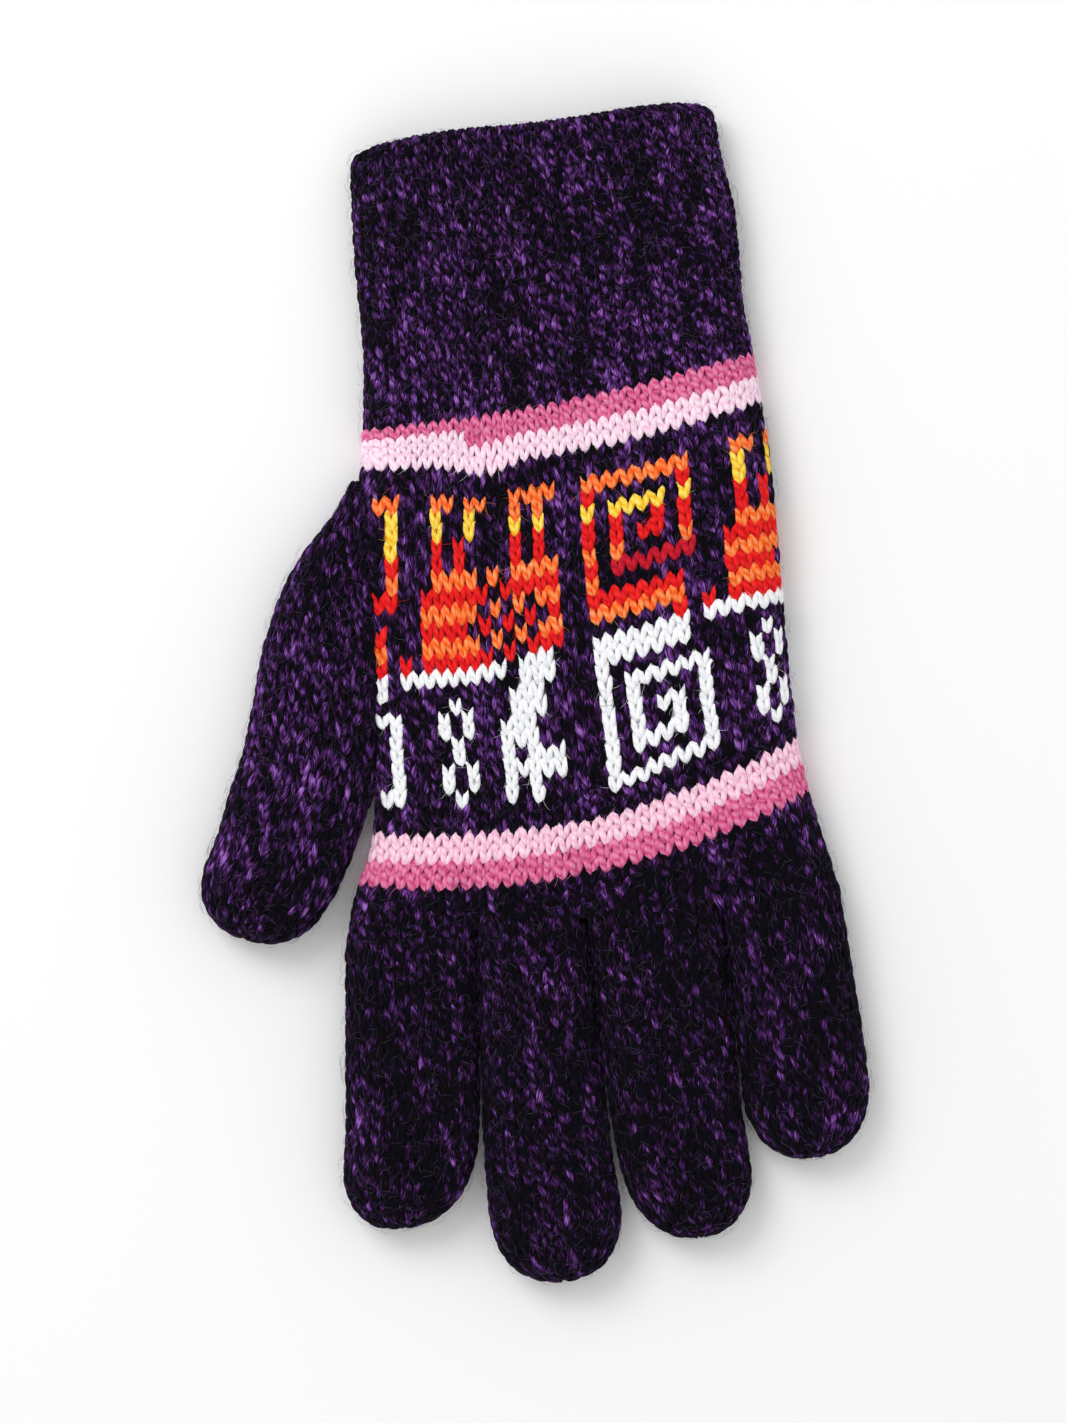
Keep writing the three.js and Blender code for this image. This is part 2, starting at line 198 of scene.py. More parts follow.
class Skin:
    """The outer face of a knitted tube: rings of points, each at its place along the tube.

    Places grow towards the cuff. A point is found by its share of the way round, counted from
    the middle of the top towards +X, and its place along.
    """

    def __init__(self, rings, places):
        order = np.argsort(places)
        self.points = np.array([rings[i][0] for i in order])
        self.sideways = np.array([rings[i][1] for i in order])
        self.places = np.array(places)[order]
        ahead = np.roll(self.points, -1, axis=1)
        self.girth = np.linalg.norm(ahead - self.points, axis=2).sum(axis=1)
        around = ahead - np.roll(self.points, 1, axis=1)
        along = np.gradient(self.points, self.places, axis=0)
        normal = np.cross(around, along)
        length = np.linalg.norm(normal, axis=2, keepdims=True)
        self.normals = normal / np.maximum(length, 1e-12)

    def _mix(self, grid, share, place):
        station = np.interp(place, self.places, np.arange(len(self.places)))
        i = np.clip(station.astype(int), 0, len(self.places) - 2)
        a = station - i
        step = (share % 1) * ROUND_STEPS
        j = step.astype(int) % ROUND_STEPS
        b = step - step.astype(int)
        k = (j + 1) % ROUND_STEPS
        if grid.ndim == 3:
            a = a[..., None]
            b = b[..., None]
        near = (1 - b) * grid[i, j] + b * grid[i, k]
        far = (1 - b) * grid[i + 1, j] + b * grid[i + 1, k]
        return (1 - a) * near + a * far

    def at(self, share, place):
        point = self._mix(self.points, share, place)
        normal = self._mix(self.normals, share, place)
        return point, normal / np.linalg.norm(normal, axis=-1, keepdims=True)

    def side_at(self, share, place):
        return self._mix(self.sideways, share, place)

    def girth_at(self, place):
        return np.interp(place, self.places, self.girth)


def press_hand(sideways, y):
    """How far the dents press the top of the cuff and the hand down."""
    along = (SEAM_Y - y) / HAND_LENGTH
    lift = 0
    for dent in DENTS:
        off_across = (sideways - dent["across"]) / 2 / dent["wide"]
        off_along = (along - dent["along"]) * HAND_LENGTH / (dent["long"] * PALM_WIDTH)
        lift = lift - dent["deep"] * HAND_THICKNESS * np.exp(-off_across ** 2 - off_along ** 2)
    return lift


KNUCKLE_SHIFT = HAND_SECTIONS[-1]["shift"] * PALM_WIDTH
start_x = KNUCKLE_SHIFT - KNUCKLE_WIDTH / 2
for finger in FINGERS:
    finger["start"] = start_x
    start_x += finger["width"] + FINGER_GAP


def press_valleys(x, y):
    """How far the top sinks between two fingers as the hand comes to its fork."""
    growth = 1 - smooth_step(y, FORK_Y, FORK_Y + VALLEY_LENGTH * HAND_LENGTH)
    lift = 0
    for finger in FINGERS[1:]:
        off = (x - (finger["start"] - FINGER_GAP / 2)) / VALLEY_WIDTH
        lift = lift - VALLEY_DEPTH * growth * np.exp(-off ** 2)
    return lift


def cuff_section(y):
    along = (y - SEAM_Y) / CUFF_LENGTH
    wrist = value_at(CUFF_SECTIONS, "wrist", along)
    return {
        "centre": (value_at(CUFF_SECTIONS, "shift", along) * WRIST_WIDTH, y),
        "width": wrist * WRIST_WIDTH + (1 - wrist) * RIM_WIDTH,
        "thickness": SEAM_THICKNESS + along * (CUFF_THICKNESS - SEAM_THICKNESS),
        "square": HAND_SQUARENESS,
        "bend": lambda sideways: (
            along * (RIM_TILT * sideways + RIM_BOW * sideways ** 2)
            - smooth_step(along, RIM_BEND_FROM, 1)
            * (RIM_CORNER * np.abs(sideways) ** RIM_CORNER_POWER
               + RIM_WAVE * np.sin(RIM_WAVE_RATE * sideways + RIM_WAVE_START))),
        "press": lambda x, sideways, on_top: np.where(on_top, press_hand(sideways, y), 0),
    }


def hand_section(y):
    along = (SEAM_Y - y) / HAND_LENGTH
    full = value_at(HAND_SECTIONS, "full", along)
    end = SEAM_THICKNESS if along < THICKEST_ALONG else KNUCKLE_THICKNESS
    width = (value_at(HAND_SECTIONS, "wrist", along) * WRIST_WIDTH
             + value_at(HAND_SECTIONS, "palm", along) * PALM_WIDTH
             + value_at(HAND_SECTIONS, "knuckles", along) * KNUCKLE_WIDTH)

    def press(x, sideways, on_top):
        valleys = press_valleys(x, y)
        return np.where(on_top, press_hand(sideways, y) + valleys, -valleys / 2)

    return {
        "centre": (value_at(HAND_SECTIONS, "shift", along) * PALM_WIDTH, y),
        "width": width,
        "thickness": end + full * (HAND_THICKNESS - end),
        "square": HAND_SQUARENESS,
        "press": press,
    }


TURNED_IN = 14 * MM
STATION = 0.5 * MM
PAST_FORK = 3 * MM
RIM_STEPS = 19
LEAST_STEP = 1e-6
body_rings = []
body_places = []
for y in np.arange(FORK_Y - PAST_FORK, SEAM_Y, STATION):
    body_rings.append(ring(hand_section(y), 0))
    body_places.append(y)
for y in np.arange(SEAM_Y, RIM_Y - RIM_WALL, STATION):
    body_rings.append(ring(cuff_section(y), 0))
    body_places.append(y)
# Over the rim, and back down inside
place = RIM_Y - RIM_WALL
before = (place, 0)
for angle in np.linspace(0, math.pi, RIM_STEPS):
    y = RIM_Y - RIM_WALL + RIM_WALL * math.sin(angle)
    inset = RIM_WALL / 2 * (1 - math.cos(angle))
    place += math.hypot(y - before[0], inset - before[1]) + LEAST_STEP
    before = (y, inset)
    body_rings.append(ring(cuff_section(y), inset))
    body_places.append(place)
for deep in np.arange(STATION, TURNED_IN, STATION):
    body_rings.append(ring(cuff_section(RIM_Y - RIM_WALL - deep), RIM_WALL))
    body_places.append(place + deep)
body = Skin(body_rings, body_places)

# The rows of stitches. The real ones sag across the back, and the thumb and handling have pulled
# them down in places. along: rows from the rim. middle: where a row's line crosses the middle of
# the back. tilt, bow: how far it climbs to one side, and to both. All in millimetres.
ROW_LINES = [
    {"along": -7, "middle": 138.3, "tilt": 0.0, "bow": 0.0},
    {"along": 0, "middle": 121.0, "tilt": 0.0, "bow": 0.0},
    {"along": 24, "middle": 61.7, "tilt": 3.7, "bow": 2.4},
    {"along": 28, "middle": 51.0, "tilt": 2.75, "bow": 4.15},
    {"along": 53, "middle": -24.8, "tilt": 5.3, "bow": 6.4},
    {"along": 57, "middle": -36.5, "tilt": 4.85, "bow": 7.45},
    {"along": 62, "middle": -50.0, "tilt": 3.0, "bow": 6.0},
    {"along": 74, "middle": -85.4, "tilt": 0.0, "bow": 0.0},
    {"along": 95, "middle": -147.4, "tilt": 0.0, "bow": 0.0},
]
# Places where the rows are pulled down. side: from -1 to 1 across the back. drop in millimetres.
PULLS = [
    {"row": 28, "rows": 2.5, "side": -0.39, "wide": 0.13, "drop": 2.4},
    {"row": 41, "rows": 6.0, "side": -0.58, "wide": 0.34, "drop": 2.9},
    {"row": 40, "rows": 5.5, "side": -1.00, "wide": 0.22, "drop": 3.4},
    {"row": 48, "rows": 4.0, "side": -0.08, "wide": 0.22, "drop": 1.9},
    {"row": 50, "rows": 2.7, "side": 0.12, "wide": 0.28, "drop": 1.5},
    {"row": 40, "rows": 7.0, "side": 1.05, "wide": 0.22, "drop": 3.0},
]


def row_line(row, sideways):
    """How far towards the cuff a row's line lies, at a place from side to side."""
    pulled = 0
    for pull in PULLS:
        off_side = (sideways - pull["side"]) / pull["wide"]
        off_row = (row - pull["row"]) / pull["rows"]
        pulled = pulled + pull["drop"] * np.exp(-off_side ** 2 - off_row ** 2)
    return MM * (value_at(ROW_LINES, "middle", row)
                 + value_at(ROW_LINES, "tilt", row) * sideways
                 + value_at(ROW_LINES, "bow", row) * sideways ** 2 - pulled)


# One leg of a stitch, as shares of the stitch's width and height: it rises in front at the foot
# of the V, leans outwards, and dives behind the next row.
LEG_SHARE = [0.00, 0.14, 0.40, 0.70, 0.88, 1.00]
LEG_ACROSS = [0.02, 0.08, 0.22, 0.37, 0.43, 0.44]
LEG_ALONG = [-0.30, -0.06, 0.42, 0.95, 1.22, 1.38]
LEG_DEPTH = [-0.62, -0.50, -0.44, -0.55, -0.76, -1.00]
LEG_FULL = [0.00, 0.72, 1.00, 0.95, 0.70, 0.00]
LEG_HALF_WIDTH = 0.28
LEG_HALF_THICKNESS = 0.62 * MM
LEG_LENGTH = 4.2
LEG_ROUND = 3.9
LEG_NEARBY = 0.02
YARN_STARTS = 400
LOWEST = 0.02 * MM
# How unevenly the stitches are worked
UNEVEN_FULL = 0.07
UNEVEN_TALL = 0.03
UNEVEN_ACROSS = 0.05
UNEVEN_ALONG = 0.045
UNEVEN_DEPTH = 0.07 * MM


def leg_model(segments, ring_count):
    """A ball whose poles are the two ends of a leg, as shares, angles and faces."""
    bpy.ops.mesh.primitive_uv_sphere_add(segments=segments, ring_count=ring_count, radius=1)
    ball = bpy.context.object
    mesh = ball.data
    share = np.array([math.acos(max(-1, min(1, v.co.z))) / math.pi for v in mesh.vertices])
    angle = np.array([math.atan2(v.co.y, v.co.x) for v in mesh.vertices])
    # Sorted, because Blender lists a ball's faces in another order from run to run
    faces = sorted(tuple(face.vertices) for face in mesh.polygons)
    corner_share = []
    corner_angle = []
    for face in faces:
        poles = [share[v] < 1e-4 or share[v] > 1 - 1e-4 for v in face]
        turns = [(angle[v] / (2 * math.pi)) % 1 for v in face]
        solid = [turn for turn, pole in zip(turns, poles) if not pole]
        wraps = max(solid) - min(solid) > 0.5
        solid = [turn + 1 if wraps and turn < 0.5 else turn for turn in solid]
        middle = sum(solid) / len(solid)
        for vertex, pole, turn in zip(face, poles, turns):
            full = turn + 1 if wraps and turn < 0.5 else turn
            corner_angle.append(middle if pole else full)
            corner_share.append(share[vertex])
    bpy.data.objects.remove(ball)
    bpy.data.meshes.remove(mesh)
    return {
        "share": share,
        "angle": angle,
        "face_sizes": np.array([len(face) for face in faces]),
        "corners": np.array([vertex for face in faces for vertex in face]),
        "corner_share": np.array(corner_share),
        "corner_angle": np.array(corner_angle),
    }


FINE_LEG = leg_model(6, 6)
PLAIN_LEG = leg_model(5, 5)


def mesh_object(name, points, corners, face_sizes, uv=None, tint=None):
    """A smooth mesh, with the yarn's own coordinates or a tint where they are given."""
    mesh = bpy.data.meshes.new(name)
    mesh.vertices.add(len(points))
    mesh.vertices.foreach_set("co", points.astype(np.float32).ravel())
    mesh.loops.add(len(corners))
    mesh.loops.foreach_set("vertex_index", corners.astype(np.int32))
    mesh.polygons.add(len(face_sizes))
    starts = np.concatenate([[0], np.cumsum(face_sizes)[:-1]])
    mesh.polygons.foreach_set("loop_start", starts.astype(np.int32))
    if uv is not None:
        layer = mesh.uv_layers.new(name="Yarn")
        layer.data.foreach_set("uv", uv.astype(np.float32).ravel())
    if tint is not None:
        colors = mesh.color_attributes.new(name="Tint", type="FLOAT_COLOR", domain="POINT")
        colors.data.foreach_set("color", tint.astype(np.float32).ravel())
    mesh.update(calc_edges=True)
    mesh.shade_smooth()
    piece = bpy.data.objects.new(name, mesh)
    bpy.context.scene.collection.objects.link(piece)
    return piece


def only(cells, chosen):
    return {key: value[chosen] for key, value in cells.items()}


def leg_points(skin, cells, leg, random):
    """Points of both legs of every stitch, laid on the skin."""
    count = len(cells["share"])
    side = np.array([1, -1])[None, :, None]
    share = leg["share"][None, None, :]
    width = cells["width"][:, None, None]
    height = cells["height"][:, None, None]
    loose = 1 + UNEVEN_FULL * random.standard_normal((count, 2, 1))
    middle_across = side * np.interp(share, LEG_SHARE, LEG_ACROSS) * width
    middle_along = (np.interp(share, LEG_SHARE, LEG_ALONG) * height
                    * (1 + UNEVEN_TALL * (loose - 1)))
    run_across = side * width * (np.interp(share + LEG_NEARBY, LEG_SHARE, LEG_ACROSS)
                                 - np.interp(share - LEG_NEARBY, LEG_SHARE, LEG_ACROSS))
    run_along = height * (np.interp(share + LEG_NEARBY, LEG_SHARE, LEG_ALONG)
                          - np.interp(share - LEG_NEARBY, LEG_SHARE, LEG_ALONG))
    length = np.hypot(run_across, run_along)
    full = np.interp(share, LEG_SHARE, LEG_FULL) * loose
    spread = LEG_HALF_WIDTH * width * full * np.cos(leg["angle"])[None, None, :]
    rise = LEG_HALF_THICKNESS * full * np.sin(leg["angle"])[None, None, :]
    across = (middle_across + spread * run_along / length
              + UNEVEN_ACROSS * width * random.standard_normal((count, 1, 1)))
    along = (middle_along - spread * run_across / length
             + UNEVEN_ALONG * height * random.standard_normal((count, 1, 1)))
    outwards = (MM * np.interp(share, LEG_SHARE, LEG_DEPTH) + rise
                + UNEVEN_DEPTH * random.standard_normal((count, 2, 1)))
    along = along + cells["slope"][:, None, None] * across
    girth = skin.girth_at(cells["place"])[:, None, None]
    point, normal = skin.at(cells["share"][:, None, None] + across / girth,
                            cells["place"][:, None, None] + along)
    point = point + normal * outwards[..., None]
    point[..., 2] = np.maximum(point[..., 2], LOWEST)
    return point.reshape(-1, 3)


def knit(name, skin, cells, material, random):
    """One mesh of stitches: fine legs where they show from above, plainer ones underneath."""
    parts = []
    for leg, chosen in ((FINE_LEG, cells["seen"]), (PLAIN_LEG, ~cells["seen"])):
        some = only(cells, chosen)
        if len(some["share"]) == 0:
            continue
        points = leg_points(skin, some, leg, random)
        legs = len(points) // len(leg["share"])
        first = np.arange(legs)[:, None] * len(leg["share"])
        offset = random.uniform(0, YARN_STARTS, (legs, 1, 2))
        uv = np.stack([leg["corner_angle"] * LEG_ROUND, leg["corner_share"] * LEG_LENGTH], axis=1)
        parts.append({
            "points": points,
            "corners": (leg["corners"][None, :] + first).ravel(),
            "sizes": np.tile(leg["face_sizes"], legs),
            "uv": (uv[None] + offset).reshape(-1, 2),
        })
    points = np.concatenate([part["points"] for part in parts])
    shift = np.cumsum([0] + [len(part["points"]) for part in parts[:-1]])
    corners = np.concatenate([part["corners"] + more for part, more in zip(parts, shift)])
    sizes = np.concatenate([part["sizes"] for part in parts])
    uv = np.concatenate([part["uv"] for part in parts])
    piece = mesh_object(name, points, corners, sizes, uv=uv)
    piece.data.materials.append(material)
    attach(piece, "root")


# The yarns. Each is soft alpaca spun as two plies with a fuzz of fibres on them. The ground is a
# marl of near-black and purple, and the stripes and the band have eight plain bright colours. The
# colour and the relief run round and along each strand, on the Yarn coordinates in millimetres.
PLY_TURN = 3.4
# Painted shade: the marl is darkened from just above the fork of the fingers to their tips.
FINGER_PAINTED_SHADE = 0.095
FINGER_SHADE_FROM = FORK_Y + 18 * MM
FINGER_SHADE_TO = FORK_Y + 6 * MM
MARL_RANGE = 2.52
MARL_SPECULAR = 0.06
# The dark violet stops stand partly for the purple ply in painted shade, and the lightest stop
# partly for a painted highlight on it; near-black and purple are the marl's own colours, spread at
# random.
MARL_COLORS = [
    (0.000, (0.0012, 0.0014, 0.0022)),
    (0.470, (0.0026, 0.0022, 0.0042)),
    (0.517, (0.0150, 0.0045, 0.0240)),
    (0.560, (0.0520, 0.0125, 0.0900)),
    (0.608, (0.1500, 0.0410, 0.2500)),
    (0.668, (0.3600, 0.1550, 0.5500)),
]
MARL_SHEEN = (0.6, 0.5, 0.75)


def node_maker(material):
    """A function that adds a node, with its inputs linked or set, and the material's shader."""
    material.use_nodes = True
    nodes = material.node_tree.nodes
    links = material.node_tree.links

    def make(kind, inputs=(), **settings):
        node = nodes.new(kind)
        for key, value in settings.items():
            setattr(node, key, value)
        for key, value in dict(inputs).items():
            if isinstance(value, bpy.types.NodeSocket):
                links.new(value, node.inputs[key])
            else:
                node.inputs[key].default_value = value
        return node

    return make, nodes["Principled BSDF"], links


def math_node(make, operation, a, b=0.0):
    return make("ShaderNodeMath", {0: a, 1: b}, operation=operation).outputs[0]


def weighted_sum(make, parts, total=0.0):
    for value, weight in parts:
        total = make("ShaderNodeMath", {0: value, 1: weight, 2: total},
                     operation="MULTIPLY_ADD").outputs[0]
    return total


def ramp(make, factor, stops):
    node = make("ShaderNodeValToRGB", {"Fac": factor})
    elements = node.color_ramp.elements
    while len(elements) < len(stops):
        elements.new(0.5)
    for element, (position, color) in zip(elements, stops):
        element.position = position
        element.color = (*color, 1)
    return node.outputs["Color"]


def stretched_noise(make, place, scale, detail):
    stretch = make("ShaderNodeVectorMath", {0: place, 1: scale}, operation="MULTIPLY").outputs[0]
    noise = make("ShaderNodeTexNoise", {"Vector": stretch, "Scale": 1.0, "Detail": detail})
    return noise.outputs["Fac"]


def relief(make, links, shader, height, strength, distance):
    bump = make("ShaderNodeBump", {"Height": height, "Strength": strength, "Distance": distance})
    links.new(bump.outputs["Normal"], shader.inputs["Normal"])


def wool_finish(shader, sheen, tint):
    shader.inputs["Roughness"].default_value = 0.92
    shader.inputs["Specular IOR Level"].default_value = 0.25
    shader.inputs["Sheen Weight"].default_value = sheen
    shader.inputs["Sheen Roughness"].default_value = 0.5
    shader.inputs["Sheen Tint"].default_value = (*tint, 1)


def spun_yarn(make, links, shader):
    """The bump of two twisted plies and their fibres, and what it is made of."""
    uv = make("ShaderNodeUVMap", uv_map="Yarn").outputs["UV"]
    split = make("ShaderNodeSeparateXYZ", {0: uv})
    turns = math_node(make, "SUBTRACT", math_node(make, "DIVIDE", split.outputs["X"], LEG_ROUND),
                      math_node(make, "DIVIDE", split.outputs["Y"], PLY_TURN))
    twist = math_node(make, "SINE", math_node(make, "MULTIPLY", turns, 2 * math.pi))
    plies = math_node(make, "ABSOLUTE", twist)
    fibre = stretched_noise(make, uv, (5.5, 1.3, 1.0), 3.0)
    relief(make, links, shader, weighted_sum(make, [(plies, 0.5), (fibre, 1.0)]), 0.55, 0.3 * MM)
    return uv, twist, fibre


def marl_yarn(name):
    """Near-black yarn twisted with purple, which shows in flecks, and a painted shade that darkens
    it on the fingers.
    """
    material = bpy.data.materials.new(name)
    make, shader, links = node_maker(material)
    uv, twist, fibre = spun_yarn(make, links, shader)
    leg_tone = stretched_noise(make, uv, (0.11, 0.11, 1.0), 0.0)
    heather = stretched_noise(make, uv, (4.2, 0.62, 1.0), 1.0)
    place = make("ShaderNodeTexCoord").outputs["Object"]
    streaks = stretched_noise(make, place, (270.0, 55.0, 120.0), 1.0)
    far = make("ShaderNodeSeparateXYZ", {0: place}).outputs["Y"]
    # Painted shade over the fingers, growing from just above the fork.
    finger_shade = make("ShaderNodeMapRange", {
        "Value": far, "From Min": FINGER_SHADE_TO, "From Max": FINGER_SHADE_FROM,
        "To Min": FINGER_PAINTED_SHADE, "To Max": 0.0}).outputs["Result"]
    amount = weighted_sum(make, [(leg_tone, 0.7), (heather, 1.0), (streaks, 0.50), (twist, 0.13),
                                 (fibre, 0.30), (finger_shade, -1.0)])
    color = ramp(make, math_node(make, "DIVIDE", amount, MARL_RANGE), MARL_COLORS)
    links.new(color, shader.inputs["Base Color"])
    wool_finish(shader, 0.035, MARL_SHEEN)
    shader.inputs["Specular IOR Level"].default_value = MARL_SPECULAR
    return material


def plain_yarn(name, deep, body_color, light_and_highlight):
    """One-coloured yarn, with painted shade deepening it between the plies, and lighter at random
    along its fibres, partly a painted highlight.
    """
    material = bpy.data.materials.new(name)
    make, shader, links = node_maker(material)
    uv, twist, fibre = spun_yarn(make, links, shader)
    plies = math_node(make, "ABSOLUTE", twist)
    tone = stretched_noise(make, uv, (0.6, 0.3, 1.0), 2.0)
    amount = weighted_sum(make, [(plies, 0.25), (fibre, 0.5), (tone, 0.45)])
    # Deep is the yarn in painted shade, where the plies meet; light is partly a painted highlight.
    color = ramp(make, amount, [(0.28, deep), (0.58, body_color), (0.85, light_and_highlight)])
    links.new(color, shader.inputs["Base Color"])
    wool_finish(shader, 0.08, light_and_highlight)
    return material


marl = marl_yarn("purple_marl_yarn")

# The shape of the thumb, which the hand's knitting leaves a hole for. It is a tube of the same
# marl from the side of the hand to a rounded tip, and it leans away from the palm. Its root runs
# into the side of the hand, where the real one is picked up along a slit in the knitting.
THUMB_LENGTH = 93 * MM
THUMB_WIDTH = 28.6 * MM
THUMB_THICKNESS = 13.6 * MM
THUMB_ROOT_BELOW_CUFF = 3 * MM
THUMB_TIP = 12 * MM
THUMB_HOLE_ALONG = 0.42
THUMB_HOLE_LENGTH = 28 * MM
THUMB_HOLE_HEIGHT = 6.4 * MM
THUMB_HOLE_MARGIN = 6 * MM
THUMB_HOLLOW_FROM = 0.15
THUMB_AIM_REACH = 0.06
TIP_ROUNDNESS = 0.9
TIP_FLATNESS = 4
THUMB_SECTIONS = [
    {"along": 0.00, "away": -0.06, "width": 0.12, "full": 0.60},
    {"along": 0.08, "away": -0.12, "width": 0.30, "full": 0.76},
    {"along": 0.15, "away": -0.18, "width": 0.52, "full": 0.88},
    {"along": 0.24, "away": -0.23, "width": 0.76, "full": 0.96},
    {"along": 0.40, "away": -0.21, "width": 0.95, "full": 1.00},
    {"along": 0.60, "away": -0.07, "width": 1.00, "full": 1.00},
    {"along": 0.75, "away": 0.11, "width": 1.00, "full": 1.00},
    {"along": 0.89, "away": 0.24, "width": 0.94, "full": 1.00},
    {"along": 1.00, "away": 0.32, "width": 0.90, "full": 1.00},
]


def hand_side_x(y):
    """Where the hand's thumb side lies."""
    section = hand_section(max(FORK_Y, min(SEAM_Y, y)))
    return section["centre"][0] - section["width"] / 2


def thumb_centre(distance):
    along = distance / THUMB_LENGTH
    y = SEAM_Y - THUMB_ROOT_BELOW_CUFF - distance
    inner = hand_side_x(y) - value_at(THUMB_SECTIONS, "away", along) * THUMB_WIDTH
    return np.array([inner - value_at(THUMB_SECTIONS, "width", along) * THUMB_WIDTH / 2, y])


def thumb_section(distance):
    along = distance / THUMB_LENGTH
    reach = THUMB_AIM_REACH * THUMB_LENGTH
    run = (thumb_centre(min(distance + reach, THUMB_LENGTH))
           - thumb_centre(max(distance - reach, 0)))
    run = run / np.hypot(*run)
    return {
        "centre": thumb_centre(distance),
        "side": (-run[1], run[0]),
        "width": value_at(THUMB_SECTIONS, "width", along) * THUMB_WIDTH,
        "thickness": value_at(THUMB_SECTIONS, "full", along) * THUMB_THICKNESS,
        "square": FINGER_SQUARENESS,
    }


def tube_to_tip(section_at, start, length, tip_length, inset=0.0, step=STATION, tip_steps=20):
    """Rings from a tube's open end to its rounded tip, how far along each lies, and the tip."""
    reach = length - inset
    tip = tip_length - inset
    distances = np.linspace(start, reach - tip, max(2, int((reach - tip - start) / step) + 1))
    rings = [ring(section_at(distance), inset) for distance in distances]
    along = list(distances)
    for angle in np.linspace(0, math.pi / 2, tip_steps + 1)[1:-1]:
        out = math.sin(angle) ** TIP_ROUNDNESS
        section = section_at(reach - tip + tip * out)
        section["shrink"] = math.cos(angle) ** TIP_ROUNDNESS
        section["flatten"] = math.sqrt(1 - out ** TIP_FLATNESS)
        rings.append(ring(section, inset))
        moved = np.linalg.norm(rings[-1][0] - rings[-2][0], axis=1).mean()
        along.append(along[-1] + moved)
    last = section_at(reach)
    point = (*last["centre"], EDGE_SHARE * last["thickness"])
    return rings, np.array(along), point


thumb_rings, thumb_along, _ = tube_to_tip(thumb_section, 0, THUMB_LENGTH, THUMB_TIP)
thumb = Skin(thumb_rings, -thumb_along)
THUMB_HOLE_Y = SEAM_Y - THUMB_ROOT_BELOW_CUFF - THUMB_HOLE_ALONG * THUMB_LENGTH
THUMB_HOLE_Z = EDGE_SHARE * HAND_THICKNESS


def middles(skin, cells):
    """The middle of each stitch on the skin."""
    return skin.at(cells["share"], cells["place"] + 0.5 * cells["height"])[0]


def in_thumb_hole(point):
    return ((point[:, 0] < hand_side_x(THUMB_HOLE_Y) + THUMB_HOLE_MARGIN)
            & (np.abs(point[:, 1] - THUMB_HOLE_Y) < THUMB_HOLE_LENGTH / 2)
            & (np.abs(point[:, 2] - THUMB_HOLE_Z) < THUMB_HOLE_HEIGHT / 2))


# The stitches of the cuff and the hand: rounds of 68, worked on a ring of needles from inside
# the turned rim to the fork of the fingers. Handling has slid the columns a stitch or two
# sideways in places, in the upper and the lower part of the band by different amounts.
random = np.random.default_rng(7)
COLUMNS = 68
RIM_ROWS_INSIDE = 4
LAST_HAND_ROW = 66
SEEN_ROUND = 0.27
LOWER_FROM_ROW = 34
LOWER_BY_ROW = 48
# along: columns from the middle of the back. upper, lower: how far they have slid, in columns.
COLUMN_DRIFT = [
    {"along": -34, "upper": 0.0, "lower": 0.00},
    {"along": -20, "upper": 0.8, "lower": 0.50},
    {"along": -16, "upper": 2.1, "lower": 1.40},
    {"along": -13, "upper": 1.9, "lower": 1.30},
    {"along": -7, "upper": 0.95, "lower": 0.95},
    {"along": 0, "upper": 0.20, "lower": 0.50},
    {"along": 9, "upper": 0.55, "lower": 1.10},
    {"along": 14, "upper": 1.0, "lower": 1.30},
    {"along": 22, "upper": 0.7, "lower": 0.90},
    {"along": 34, "upper": 0.0, "lower": 0.00},
]


def column_share(row, column):
    """The share of the way round at which a column begins."""
    lower = smooth_step(row, LOWER_FROM_ROW, LOWER_BY_ROW)
    drift = ((1 - lower) * value_at(COLUMN_DRIFT, "upper", column)
             + lower * value_at(COLUMN_DRIFT, "lower", column))
    return (column + drift) / COLUMNS


def off_top(share):
    """How far round from the middle of the top, from 0 to a half at the middle underneath."""
    return np.abs((share + 0.5) % 1 - 0.5)


def cells_at(skin, row, column, share, pitch, line_at):
    """Stitches with their place, size and slope; line_at gives a row's line at a share."""
    low = line_at(row + 1, share)
    high = line_at(row, share)
    girth = skin.girth_at(low)
    step = 0.25 * pitch
    slope = (line_at(row + 1, share + step) - line_at(row + 1, share - step)) / (2 * step * girth)
    return {
        "row": row,
        "column": column,
        "share": share,
        "place": low,
        "height": high - low,
        "width": pitch * girth,
        "slope": slope,
        "seen": off_top(share) < SEEN_ROUND,
    }


def body_line(row, share):
    return row_line(row, body.side_at(share, MM * value_at(ROW_LINES, "middle", row)))


def body_cells(rows):
    row, column = [grid.ravel() for grid in np.meshgrid(
        np.array(rows), np.arange(COLUMNS) - COLUMNS // 2, indexing="ij")]
    pitch = column_share(row, column + 1) - column_share(row, column)
    return cells_at(body, row, column, column_share(row, column + 0.5), pitch, body_line)


cells = body_cells(range(-RIM_ROWS_INSIDE, LAST_HAND_ROW + 1))
cells = only(cells, cells["place"] + 0.5 * cells["height"] > FORK_Y)
cells = only(cells, ~in_thumb_hole(middles(body, cells)))
